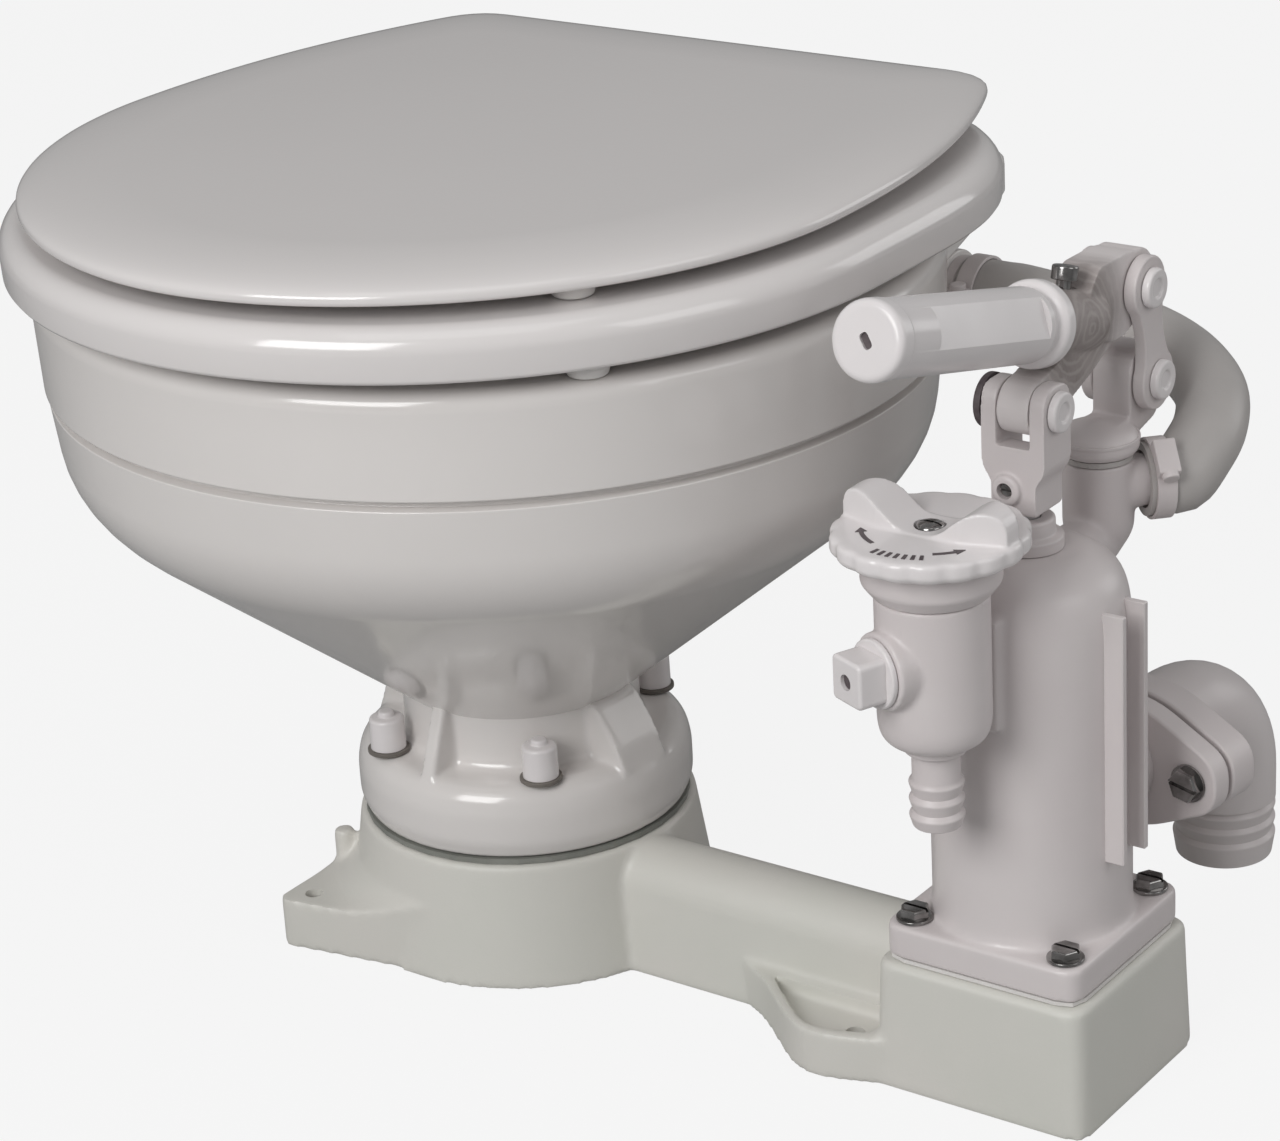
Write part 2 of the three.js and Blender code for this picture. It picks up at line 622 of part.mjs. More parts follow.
function bowl() {
  const rimEdge = 7;
  const bandTop = rimZ - RIM_LIP_T - 2;
  const cavity = inside(bowlSide, WALL);
  const innerBand = cavity.at(-1)[0];
  const china = lathe([
    [cavity[0][0], bowlZ],
    [FOOT_R - 2.5, bowlZ],
    [FOOT_R, bowlZ + 6],
    [FOOT_R, bowlZ + 0.62 * FOOT_H],
    [FOOT_R - 1.5, footTop - 4],
    [FOOT_R - 6, footTop],
    [COLUMN_R + 1, footTop],
    ...bowlSide,
    [BAND_R - GROOVE_DEPTH, bowlZ + GROOVE_Z + 0.6],
    [BAND_R, bowlZ + GROOVE_Z + 1.6],
    [BAND_R + 1, rimZ, rimEdge],
    [RIM_OPENING_R, rimZ, 2],
    [RIM_OPENING_R, rimZ - RIM_LIP_H],
    [RIM_OPENING_R + RIM_LIP_T, rimZ - RIM_LIP_H],
    [RIM_OPENING_R + RIM_LIP_T, bandTop],
    [innerBand, bandTop],
    ...cavity.reverse(),
  ], FINE);
  const deckCorners = [
    [DECK_FRONT_HALF, DECK_FRONT_Y],
    [DECK_BACK_HALF, deckBackY, DECK_CORNER],
    [-DECK_BACK_HALF, deckBackY, DECK_CORNER],
    [-DECK_FRONT_HALF, DECK_FRONT_Y],
  ];
  const deck = cut(
    prismZ(deckCorners, rimZ - DECK_T, rimZ),
    drill([0, 0, rimZ - DECK_T - 1], [0, 0, rimZ + 1], BAND_R - 5, FINE),
  );
  const ribs = [
    ...[-90, 90].map((a) => bowlRib(a, FIN_W, FIN_REACH, FIN_RISE)),
    ...[-5, 180].map((a) => bowlRib(a, RIB_W, RIB_REACH, RIB_RISE)),
  ];
  const inletWall = Math.sqrt((BAND_R - WALL) ** 2 - INLET_Y ** 2);
  const onInlet = (x) => [x, INLET_Y, inletZ];
  const boss = rod(onInlet(inletWall), onInlet(inletBossX), INLET_BOSS_R, INLET_BOSS_R, ROUND);
  const boltHoles = BOWL_BOLT_ANGLES.map((a) => {
    const at = [BOWL_BOLT_R * Math.cos(rad(a)), BOWL_BOLT_R * Math.sin(rad(a))];
    return drill([...at, bowlZ - 1], [...at, footTop + 3], BOLT_SHANK_R + GAP);
  });
  const hingeHoles = [-HINGE_X, HINGE_X].map((x) =>
    drill([x, hingeY, rimZ - DECK_T - 1], [x, hingeY, rimZ + 1], POST_STUD_R + GAP),
  );
  return cut(
    union(china, deck, ribs, boss),
    drill(onInlet(inletWall - 15), onInlet(inletBossX + 1), INLET_BORE_R),
    boltHoles,
    hingeHoles,
  );
}

function bowlGasket() {
  const [inner, outer] = [RING_BORE_R - 1, RING_TOP_R - 2];
  const top = gasketZ + GASKET_T;
  const ring = lathe([[inner, gasketZ], [outer, gasketZ], [outer, top], [inner, top]], FINE);
  const holes = BOWL_BOLT_ANGLES.map((a) => {
    const at = [BOWL_BOLT_R * Math.cos(rad(a)), BOWL_BOLT_R * Math.sin(rad(a))];
    return drill([...at, gasketZ - 1], [...at, top + 1], BOLT_SHANK_R + GAP);
  });
  return cut(ring, holes);
}

// One capped nut with its washer and stud, about its own axis with the foot's top at z = 0.
function bowlBolt() {
  const seat = GAP;
  return lathe([
    [0, RING_H - BOLT_DEPTH - footTop],
    [BOLT_SHANK_R, RING_H - BOLT_DEPTH - footTop],
    [BOLT_SHANK_R, seat],
    [WASHER_R, seat],
    [WASHER_R, seat + WASHER_T, 0.5],
    [BOLT_CAP_R, seat + WASHER_T],
    [BOLT_CAP_R, seat + WASHER_T + BOLT_CAP_H, 3],
    [0, seat + WASHER_T + BOLT_CAP_H],
  ], SMALL);
}

// ---- Seat and lid ----

// Half of a seat outline, from the back's middle round the right side to the front, mirrored into a whole.
function seatOutline({ half, front, midY, backY, backHalf, squareness, sidePower, corner }) {
  const sideX = (y) => half - (half - backHalf) * ((y - midY) / (backY - midY)) ** sidePower;
  const path = new THREE.Path();
  path.moveTo(0, backY);
  path.lineTo(backHalf - corner, backY);
  path.quadraticCurveTo(backHalf, backY, sideX(backY - corner), backY - corner);
  const sides = [0.75, 0.5, 0.25, 0.1].map((t) => midY + t * (backY - corner - midY));
  path.splineThru(sides.map((y) => new THREE.Vector2(sideX(y), y)));
  const turn = (t) => {
    const [c, s] = [Math.cos(t), Math.sin(t)];
    return new THREE.Vector2(half * c ** (2 / squareness), midY - front * s ** (2 / squareness));
  };
  const turns = Array.from({ length: 19 }, (_, i) => Math.min((i * Math.PI) / 36, Math.PI / 2 - 1e-9));
  path.splineThru(turns.map(turn));
  const right = path.getSpacedPoints(SEAT_FACETS / 2).map((p) => [p.x, p.y]);
  right[0][0] = 0;
  right.at(-1)[0] = 0;
  const left = right.slice(1, -1).reverse().map(([x, y]) => [-x, y]);
  return [...right, ...left];
}

// The outline moved inward at each point and set at a height.
function inset(outline, distance, z) {
  const n = outline.length;
  return outline.map(([x, y], i) => {
    const [a, b] = [outline[(i + n - 1) % n], outline[(i + 1) % n]];
    const along = new THREE.Vector2(b[0] - a[0], b[1] - a[1]).normalize();
    return [x + along.y * distance, y - along.x * distance, z];
  });
}

// The outline drawn in toward its middle by a share and set at a height.
const shrunk = (outline, share, midY, z) =>
  outline.map(([x, y]) => [x * share, midY + (y - midY) * share, z]);

function seat() {
  const outline = seatOutline({
    half: SEAT_HALF, front: SEAT_FRONT, midY: SEAT_MID_Y, backY: seatBackY, backHalf: SEAT_BACK_HALF,
    squareness: 2, sidePower: 4.2, corner: 16,
  });
  const hole = outline.map((_, i) => {
    const t = Math.PI / 2 - (2 * Math.PI * i) / outline.length;
    return [SEAT_HOLE_HALF * Math.cos(t), SEAT_HOLE_Y + SEAT_HOLE_LENGTH * Math.sin(t)];
  });
  const edge = (a) => [SEAT_EDGE * (1 - Math.cos(rad(a))), SEAT_EDGE * (1 - Math.sin(rad(a)))];
  const angles = [0, 35, 90];
  const outer = [
    inset(outline, 3, seatZ),
    inset(outline, 0, seatZ + 5),
    ...angles.map((a) => inset(outline, edge(a)[0], seatZ + SEAT_T - edge(a)[1])),
  ];
  const opening = [
    inset(hole, 0, seatZ - 1),
    ...angles.map((a) => inset(hole, -edge(a)[0], seatZ + SEAT_T - edge(a)[1])),
    inset(hole, -SEAT_EDGE, seatZ + SEAT_T + 1),
  ];
  return cut(loft(outer), loft(opening));
}

function lid() {
  const outline = seatOutline({
    half: LID_HALF, front: LID_FRONT, midY: LID_MID_Y, backY: lidBackY, backHalf: LID_BACK_HALF,
    squareness: 1.91, sidePower: 2.2, corner: 14,
  });
  const side = [0, 45, 90].map((a) => [LID_EDGE * (1 - Math.cos(rad(a))), LID_EDGE * (1 - Math.sin(rad(a)))]);
  const topEdge = inset(outline, LID_EDGE, lidZ + LID_T);
  const domes = [0.93, 0.85, 0.72, 0.4, 0.2].map((s) =>
    shrunk(topEdge, s, LID_MID_Y, lidZ + LID_T + LID_DOME * (1 - s ** LID_ROLL)),
  );
  return loft([
    inset(outline, LID_EDGE, lidZ),
    inset(outline, 0, lidZ + LID_EDGE),
    ...side.map(([d, h]) => inset(outline, d, lidZ + LID_T - h)),
    ...domes,
  ]);
}

const bumper = (height) =>
  lathe([[0, 0], [BUMPER_R - 1, 0, 0.8], [BUMPER_R, height], [0, height]], SMALL);

function hingePost(side) {
  const x = side * HINGE_X;
  const half = KNUCKLE_W / 2;
  const flange = rod([x, hingeY, rimZ + GAP], [x, hingeY, rimZ + GAP + POST_FLANGE_T], POST_FLANGE_R);
  const depth = KNUCKLE_R + 0.8;
  const column = [[-depth, rimZ + GAP], [depth, rimZ + GAP], [depth - 0.8, hingeZ], [-depth + 0.8, hingeZ]];
  const upright = prismX(column.map(([y, z]) => [hingeY + y, z]), x - half, x + half);
  const knuckle = rod([x - half, hingeY, hingeZ], [x + half, hingeY, hingeZ], KNUCKLE_R);
  const stud = rod([x, hingeY, rimZ - DECK_T - HINGE_NUT_T - 3], [x, hingeY, rimZ + 1], POST_STUD_R);
  const reach = 1.5 * KNUCKLE_W + 2 * GAP + 1;
  const pin = rod([x - reach, hingeY, hingeZ], [x + reach, hingeY, hingeZ], HINGE_PIN_R);
  const nutTop = rimZ - DECK_T - GAP;
  const nut = rod([x, hingeY, nutTop - HINGE_NUT_T], [x, hingeY, nutTop], HINGE_NUT_R, HINGE_NUT_R, 6);
  return union(flange, upright, knuckle, stud, pin, nut);
}

// A strap against the panel's underside that turns up or down into a knuckle on the pin.
function hingeLeaf(x, panelZ, panelBack) {
  const half = KNUCKLE_W / 2;
  const top = panelZ - GAP;
  const strap = box(x - half, x + half, panelBack - LEAF_LENGTH, panelBack + 1.5, top - LEAF_T, top);
  const start = new THREE.Vector2(panelBack + 1.5, top - LEAF_T / 2);
  const end = new THREE.Vector2(hingeY, hingeZ);
  const across = end.clone().sub(start).normalize().rotateAround(new THREE.Vector2(), Math.PI / 2);
  const corner = (p, s) => p.clone().addScaledVector(across, (s * LEAF_T) / 2).toArray();
  const section = [corner(start, 1), corner(start, -1), corner(end, -1), corner(end, 1)];
  const web = prismX(section, x - half, x + half);
  const knuckle = rod([x - half, hingeY, hingeZ], [x + half, hingeY, hingeZ], KNUCKLE_R);
  return cut(
    union(strap, web, knuckle),
    drill([x - half - 1, hingeY, hingeZ], [x + half + 1, hingeY, hingeZ], HINGE_PIN_R + GAP),
  );
}

// ---- Pump ----

function plateCorners() {
  return [[1, 1], [1, -1], [-1, 1], [-1, -1]].map(([x, y]) => [x * PLATE_SCREW_AT, y * PLATE_SCREW_AT]);
}

// The sheet under the pump: a slit in it frees a weighted flap, the bottom valve.
function plateGasket() {
  const sheet = prismZ(square(PLATE_HALF - 0.5, BLOCK_CORNER), plateGasketZ, plateGasketZ + PLATE_GASKET_T);
  const [low, high] = [plateGasketZ - 1, plateGasketZ + PLATE_GASKET_T + 1];
  const flapR = SUMP_HALF - 4;
  const slit = cut(
    drill([0, 0, low], [0, 0, high], flapR, ROUND),
    rod([0, 0, low - 1], [0, 0, high + 1], flapR - 1.5, flapR - 1.5, ROUND),
    box(-flapR / 2, flapR / 2, 0, flapR + 1, low - 1, high + 1),
  );
  const holes = plateCorners().map(([x, y]) => drill([x, y, low], [x, y, high], PLATE_SCREW_R + GAP));
  const flapTop = plateZ + FLAP_T;
  const weight = lathe([[0, low + 1], [FLAP_R, low + 1], [FLAP_R, flapTop, 1], [0, flapTop]]);
  return union(cut(sheet, slit, holes), weight);
}

function plateScrew() {
  return lathe([
    [0, BLOCK_H - PLATE_SCREW_DEPTH],
    [PLATE_SCREW_R, BLOCK_H - PLATE_SCREW_DEPTH],
    [PLATE_SCREW_R, plateTop + GAP],
    [PLATE_SCREW_HEAD_R, plateTop + GAP],
    [PLATE_SCREW_HEAD_R, plateTop + GAP + PLATE_SCREW_HEAD_T, 2.6],
    [0, plateTop + GAP + PLATE_SCREW_HEAD_T],
  ], SMALL);
}

// Direction of the discharge port and of the line between its two ears, both level.
const portWay = [Math.sin(rad(PORT_ANGLE)), Math.cos(rad(PORT_ANGLE)), 0];
const portSide = [Math.cos(rad(PORT_ANGLE)), -Math.sin(rad(PORT_ANGLE)), 0];
const onPort = (d, side = 0, up = 0) => [
  portWay[0] * d + portSide[0] * side,
  portWay[1] * d + portSide[1] * side,
  portZ + up,
];

// A two-eared flange across the port between two distances from the pump's axis, with its bolt holes.
function portFlange(from, to) {
  const [reach, waist] = [EAR_AT + EAR_R, 0.6 * FLANGE_R];
  const quarter = [[reach, -EAR_R + 2, 8], [waist, -FLANGE_R, 10]];
  const lower = [...quarter, ...quarter.toReversed().map(([x, z, c]) => [-x, z, c])];
  const outline = [...lower, ...lower.toReversed().map(([x, z, c]) => [x, -z, c])];
  const plate = prismY(outline.map(([x, z, c]) => [x, portZ + z, c]), from, to).rotate([0, 0, -PORT_ANGLE]);
  const holes = [-1, 1].map((s) =>
    drill(onPort(from - 1, s * EAR_AT), onPort(to + 1, s * EAR_AT), PLATE_SCREW_R + GAP),
  );
  return cut(plate, holes);
}

function pumpBody() {
  const plate = draftedBlock(PLATE_HALF, PLATE_HALF, BLOCK_CORNER, plateZ, plateTop);
  const shell = lathe([
    [0, plateZ],
    [CYLINDER_R + 0.6, plateZ],
    [CYLINDER_R + 0.6, plateTop + 1.2],
    [CYLINDER_R, plateTop + 3],
    [CYLINDER_R, shoulderZ + 6, 16],
    [DOME_TOP_R + 7, domeZ - 1.5, 6],
    [DOME_TOP_R, domeZ, 1],
    [0, domeZ],
  ], CYLINDER_FACETS);
  const boreTop = shoulderZ - 6;
  const bore = lathe([
    [0, plateZ - 1],
    [CYLINDER_BORE_R, plateZ - 1],
    [CYLINDER_BORE_R, boreTop, 8],
    [ROD_R + 4, boreTop + 14],
    [0, boreTop + 14],
  ], ROUND);
  const rodHole = drill([0, 0, boreTop], [0, 0, domeZ + 1], ROD_R + GAP);
  const railTop = shoulderZ + RAIL_DROP;
  const rails = [-1, 1].map((s) => {
    const [a, b] = [s * RAIL_HALF_GAP, s * (RAIL_HALF_GAP + RAIL_T)];
    const inner = CYLINDER_R - 6;
    return prismY([
      [inner, railTop - RAIL_H],
      [RAIL_REACH, railTop - RAIL_H],
      [RAIL_REACH, railTop],
      [CYLINDER_R - 2, railTop],
      [inner, railTop - 12],
    ], Math.min(a, b), Math.max(a, b));
  });
  const padTop = shoulderZ + 8;
  const pad = box(
    VALVE_X - PAD_HALF, VALVE_X + PAD_HALF, PAD_Y, -CYLINDER_BORE_R - 2, padTop - PAD_H, padTop,
  );
  const padTrim = rod([0, 0, plateZ], [0, 0, domeZ], CYLINDER_R + 8, CYLINDER_R + 8, ROUND);
  const riserFoot = riserZ - RISER_H;
  const riser = lathe([
    [0, riserFoot - 8],
    [RISER_R - 7, riserFoot - 8, 2],
    [RISER_R, riserFoot + 4, 4],
    [RISER_R, riserZ, 0.8],
    [0, riserZ],
  ], ROUND).translate([0, RISER_Y, 0]);
  const throatZ = riserFoot + 1;
  const throat = rod([0, 0, throatZ], [0, RISER_Y, throatZ], 11, 9.5, ROUND);
  const outWay = [Math.sin(rad(OUTLET_ANGLE)), Math.cos(rad(OUTLET_ANGLE)), 0];
  const onOutlet = (d) => [outWay[0] * d, RISER_Y + outWay[1] * d, outletZ];
  const spigot = turned([
    [0, 0],
    [OUTLET_BARB_R, 0],
    [OUTLET_BARB_R, RISER_R + 3],
    ...barbs(OUTLET_BARB_R, RISER_R + 3, OUTLET_REACH),
    [0, OUTLET_REACH],
  ], onOutlet(0), outWay, ROUND);
  const port = rod(onPort(0), onPort(PORT_FACE - FLANGE_T + 1), PORT_R, PORT_R, ROUND);
  const valvePort = valveZ + 0.45 * VALVE_H;
  const flange = portFlange(PORT_FACE - FLANGE_T, PORT_FACE);
  return cut(
    union(plate, shell, rails, pad.intersect(padTrim), throat, riser, spigot, port, flange),
    bore,
    rodHole,
    drill([0, RISER_Y, throatZ - 2], [0, RISER_Y, riserZ + 1], RISER_BORE_R, SMALL),
    drill([0, CYLINDER_BORE_R - 12, throatZ], [0, RISER_Y, throatZ], 6.5),
    drill(onOutlet(0), onOutlet(OUTLET_REACH + 1), OUTLET_BORE_R),
    drill(onPort(0), onPort(PORT_FACE + 1), PORT_BORE_R, ROUND),
    drill([VALVE_X, 0, valvePort], [VALVE_X, PAD_Y - 1, valvePort], 5),
    plateCorners().map(([x, y]) => drill([x, y, plateZ - 1], [x, y, plateTop + 1], PLATE_SCREW_R + GAP)),
  );
}

function dischargeElbow() {
  const bendStart = ELBOW_LEG - ELBOW_BEND_R;
  const at = (d, up) => new THREE.Vector3(...onPort(d, 0, up));
  const pull = 0.5523 * ELBOW_BEND_R; // handle length that makes a quarter circle
  const bend = new THREE.CubicBezierCurve3(
    at(bendStart, 0),
    at(bendStart + pull, 0),
    at(ELBOW_LEG, -ELBOW_BEND_R + pull),
    at(ELBOW_LEG, -ELBOW_BEND_R),
  );
  const start = elbowFace + ELBOW_FLANGE_T - 2;
  const points = [at(start, 0), ...bend.getPoints(4), at(ELBOW_LEG, -ELBOW_BEND_R - 6)];
  const outer = pipeAlong(points, ELBOW_R, 14);
  const inner = pipeAlong([at(elbowFace - 1, 0), ...points, at(ELBOW_LEG, -ELBOW_DROP - 1)], PORT_BORE_R, 14);
  const legTop = -ELBOW_BEND_R - 5;
  const leg = turned([
    [0, 0],
    [ELBOW_R, 0],
    ...barbs(ELBOW_R, 8, ELBOW_DROP + legTop),
    [0, ELBOW_DROP + legTop],
  ], onPort(ELBOW_LEG, 0, legTop), [0, 0, -1], 14);
  return cut(union(portFlange(elbowFace, elbowFace + ELBOW_FLANGE_T), outer, leg), inner);
}

// A round bar swept along points that are already in place.
function pipeAlong(points, radius, sides) {
  const rings = points.map((p, i) => {
    const [before, after] = [points[Math.max(i - 1, 0)], points[Math.min(i + 1, points.length - 1)]];
    const along = after.clone().sub(before).normalize();
    const across = new THREE.Vector3(...portSide);
    const up = across.clone().cross(along);
    return Array.from({ length: sides }, (_, k) => {
      const a = (2 * Math.PI * k) / sides;
      const [over, lift] = [radius * Math.cos(a), radius * Math.sin(a)];
      return p.clone().addScaledVector(across, over).addScaledVector(up, lift).toArray();
    });
  });
  return loft(rings);
}

function flangeBolt(side) {
  const [head, shank, nut] = [7, PLATE_SCREW_R, 5.2];
  const start = PORT_FACE - FLANGE_T - GAP;
  const end = elbowFace + ELBOW_FLANGE_T + GAP;
  return turned([
    [0, start - 4.5],
    [head, start - 4.5, 2],
    [head, start],
    [shank, start],
    [shank, end],
    [nut, end],
    [nut, end + 4.5, 0.8],
    [0, end + 4.5],
  ], onPort(0, side * EAR_AT), portWay);
}

function jokerValve() {
  const rim = PORT_FACE + GAP;
  return turned([
    [8, rim],
    [FLANGE_R - 3, rim],
    [FLANGE_R - 3, rim + JOKER_RIM_T],
    [JOKER_R, rim + JOKER_RIM_T],
    [JOKER_R - 1, rim + 10, 4],
    [6, rim + JOKER_LENGTH],
    [4, rim + JOKER_LENGTH],
    [8, rim + 9, 4],
  ], onPort(0), portWay, 14);
}

function piston() {
  const side = CYLINDER_BORE_R - GAP;
  const mid = pistonZ + PISTON_T / 2;
  return lathe([
    [ROD_R + GAP, pistonZ],
    [side, pistonZ, 1],
    [side, mid - PISTON_GROOVE / 2],
    [side - 3, mid - PISTON_GROOVE / 2],
    [side - 3, mid + PISTON_GROOVE / 2],
    [side, mid + PISTON_GROOVE / 2],
    [side, pistonZ + PISTON_T, 1],
    [ROD_R + GAP, pistonZ + PISTON_T],
  ], ROUND);
}

function pistonRing() {
  const [inner, outer] = [CYLINDER_BORE_R - 3, CYLINDER_BORE_R - GAP];
  const low = pistonZ + PISTON_T / 2 - PISTON_GROOVE / 2 + GAP;
  const high = low + PISTON_GROOVE - 2 * GAP;
  return lathe([[inner, low], [outer, low], [outer, high], [inner, high]], ROUND);
}

function pistonRod() {
  return rod([0, 0, pistonZ + 1], [0, 0, clevisZ + CLEVIS_PIN_Z - CLEVIS_SLOT - 9 - GAP], ROD_R);
}

function glandNut() {
  const top = glandZ + GLAND_H;
  return lathe([
    [ROD_R + GAP, glandZ],
    [GLAND_R, glandZ],
    [GLAND_R, glandZ + 4.2, 0.8],
    [GLAND_NECK_R, glandZ + 5],
    [GLAND_NECK_R, top, 1],
    [ROD_R + GAP, top],
  ]);
}

// ---- Inlet valve ----

const plugWay = [Math.cos(rad(PLUG_ANGLE)), Math.sin(rad(PLUG_ANGLE)), 0];

function valveHousing() {
  const shell = lathe([
    [0, valveZ],
    [VALVE_FOOT_R, valveZ],
    [VALVE_R - 1.5, valveZ + 3, 2],
    [VALVE_R, valveZ + 8, 4],
    [VALVE_R, valveTop],
    [0, valveTop],
  ]);
  const neck = box(-PAD_HALF + 1, PAD_HALF - 1, 0, -valveY + PAD_Y - GAP, valveZ + 8, valveTop - 8);
  const plugZ = valveZ + PLUG_Z;
  const onPlug = (d) => [plugWay[0] * d, plugWay[1] * d, plugZ];
  const boss = rod(onPlug(0), onPlug(VALVE_R + 3), PLUG_BOSS_R);
  const passZ = valveZ + 0.45 * VALVE_H;
  return cut(
    union(shell, neck, boss),
    drill([0, 0, valveZ + INTAKE_SOCKET + 1], [0, 0, valveTop + 1], VALVE_BORE_R, ROUND),
    drill([0, 0, valveZ - 1], [0, 0, valveZ + INTAKE_SOCKET + 2], INTAKE_R - 1 + GAP),
    drill([0, 0, passZ], [0, -valveY + PAD_Y, passZ], 5),
    drill(onPlug(0), onPlug(2 * VALVE_R), PLUG_THREAD_R + GAP),
  );
}

function valveCollar() {
  const [low, high] = [valveTop + GAP, collarTop];
  return lathe([
    [SPINDLE_R + GAP, low - 5],
    [VALVE_BORE_R - GAP, low - 5],
    [VALVE_BORE_R - GAP, low],
    [VALVE_R + 0.6, low],
    [COLLAR_R, low + 5, 3],
    [COLLAR_R, high, 1],
    [SPINDLE_R + GAP, high],
  ]);
}

function sidePlug() {
  const face = VALVE_R + 3 + GAP;
  const half = PLUG_HEAD / 2;
  const head = prismZ(square(half, 2.2), 0, 11);
  const body = union(
    head.translate([0, 0, face + 1.5]),
    rod([0, 0, face], [0, 0, face + 2], PLUG_FLANGE_R, PLUG_FLANGE_R, ROUND),
    rod([0, 0, VALVE_BORE_R + 1], [0, 0, face + 1], PLUG_THREAD_R),
  );
  const drilled = cut(body, drill([0, 0, face + 6], [0, 0, face + 14], 2.3, 12));
  return drilled.rotate([0, 90, 0]).rotate([0, 0, PLUG_ANGLE]).translate([0, 0, valveZ + PLUG_Z]);
}

function intakeBarb() {
  const [top, low] = [valveZ + INTAKE_SOCKET, valveZ - INTAKE_H];
  const shoulder = valveZ - GAP;
  const length = INTAKE_H - GAP;
  const tail = barbs(INTAKE_R, length - INTAKE_RINGS * BARB_PITCH, length).map(([r, d]) => [r, shoulder - d]);
  return lathe([
    [INTAKE_BORE_R, top],
    [INTAKE_R - 1, top],
    [INTAKE_R - 1, shoulder],
    [INTAKE_R + 1.2, shoulder],
    [INTAKE_R + 1.2, shoulder - INTAKE_COLLAR_T, 0.6],
    [INTAKE_R - BARB_DEPTH, shoulder - INTAKE_COLLAR_T],
    ...tail,
    [INTAKE_BORE_R, low],
  ], 16);
}

function knob() {
  const top = knobZ + KNOB_T;
  const rim = Array.from({ length: 2 * KNOB_SCALLOPS }, (_, i) => {
    const r = KNOB_R - (i % 2) * KNOB_SCALLOP;
    const a = (Math.PI * i) / KNOB_SCALLOPS;
    return [r * Math.cos(a), r * Math.sin(a)];
  });
  const disc = loft([
    shrunk(rim, 0.92, 0, knobZ),
    shrunk(rim, 1, 0, knobZ + 2.4),
    shrunk(rim, 1, 0, top - 1),
    shrunk(rim, 0.95, 0, top + 0.2),
    shrunk(rim, 0.4, 0, top + 0.6),
  ]);
  const peak = top + WING_RISE;
  const saddle = [
    [-WING_REACH, top - 1],
    [-WING_REACH, peak - 3, 6],
    [-WING_REACH + WING_CROWN, peak, 4],
    [-WING_REACH + WING_CROWN + 5, peak - 2, 4],
    [-WING_DIP, top + 2, 5],
    [WING_DIP, top + 2, 5],
    [WING_REACH - WING_CROWN - 5, peak - 2, 4],
    [WING_REACH - WING_CROWN, peak, 4],
    [WING_REACH, peak - 3, 6],
    [WING_REACH, top - 1],
  ];
  const [tip, waist] = [1.35 * WING_REACH, 0.39 * WING_REACH];
  const plan = [
    [-tip, 0, 7],
    [-waist, -WING_HALF, 8],
    [waist, -WING_HALF, 8],
    [tip, 0, 7],
    [waist, WING_HALF, 8],
    [-waist, WING_HALF, 8],
  ];
  const wings = prismY(saddle, -0.8 * WING_HALF, 0.8 * WING_HALF).intersect(prismZ(plan, knobZ, peak + 1));
  return cut(
    union(disc, wings),
    drill([0, 0, knobZ - 1], [0, 0, knobZ + 3], SPINDLE_R + GAP),
    drill([0, 0, knobZ], [0, 0, peak], 1.8 + GAP, 12),
    drill([0, 0, top - 0.5], [0, 0, peak], 5 + GAP),
  );
}

function knobScrew() {
  const [foot, seat] = [knobZ + 3.2, knobZ + KNOB_T - 0.5 + GAP];
  const top = seat + 2.6;
  return lathe([[0, foot], [1.8, foot], [1.8, seat], [5, seat], [5, top, 1.6], [0, top]], SMALL);
}

function valveSpindle() {
  return lathe([
    [0, valveZ + 14],
    [VALVE_BORE_R - GAP, valveZ + 14],
    [VALVE_BORE_R - GAP, valveTop - 12],
    [SPINDLE_R, valveTop - 12],
    [SPINDLE_R, knobZ + 2.7],
    [0, knobZ + 2.7],
  ], 24);
}

// ---- Lever mechanism ----

function clevis() {
  const [low, top] = [clevisZ, pinZ + CLEVIS_DEPTH];
  const sideView = prismX([
    [-CLEVIS_DEPTH, low, 1.5],
    [CLEVIS_DEPTH, low, 1.5],
    [CLEVIS_DEPTH, top, 8],
    [-CLEVIS_DEPTH, top, 8],
  ], -CLEVIS_HALF - 1, CLEVIS_HALF + 1);
  const frontView = prismY([
    [-CLEVIS_NECK_HALF, low, 1],
    [CLEVIS_NECK_HALF, low, 1],
    [CLEVIS_NECK_HALF, low + 11, 2],
    [CLEVIS_HALF, low + 16, 2],
    [CLEVIS_HALF, top],
    [-CLEVIS_HALF, top],
    [-CLEVIS_HALF, low + 16, 2],
    [-CLEVIS_NECK_HALF, low + 11, 2],
  ], -CLEVIS_DEPTH - 1, CLEVIS_DEPTH + 1);
  const slot = EYE_HALF + GAP;
  const floor = pinZ - CLEVIS_SLOT;
  const opening = prismX([
    [-CLEVIS_DEPTH - 1, floor],
    [0, floor, 3],
    [CLEVIS_DEPTH + 1, floor - CLEVIS_DEPTH - 1],
    [CLEVIS_DEPTH + 1, top + 1],
    [-CLEVIS_DEPTH - 1, top + 1],
  ], -slot, slot);
  const bossZ = low + CLEVIS_SCREW_Z;
  const onScrew = (y) => [CLEVIS_SCREW_X, y, bossZ];
  const boss = rod(onScrew(0), onScrew(-CLEVIS_DEPTH - 2.5), CLEVIS_SCREW_R + 3);
  return cut(
    union(cut(sideView.intersect(frontView), opening), boss),
    drill([0, 0, low - 1], [0, 0, floor - 9], ROD_R + GAP),
    drill(onScrew(-ROD_R), onScrew(-CLEVIS_DEPTH - 4), CLEVIS_SCREW_R + GAP),
    drill([-CLEVIS_HALF - 1, 0, pinZ], [CLEVIS_HALF + 1, 0, pinZ], PIN_R + GAP),
  );
}

function clevisScrew() {
  const z = clevisZ + CLEVIS_SCREW_Z;
  return rod([CLEVIS_SCREW_X, -ROD_R - 1.2, z], [CLEVIS_SCREW_X, -CLEVIS_DEPTH - 1.2, z], CLEVIS_SCREW_R);
}

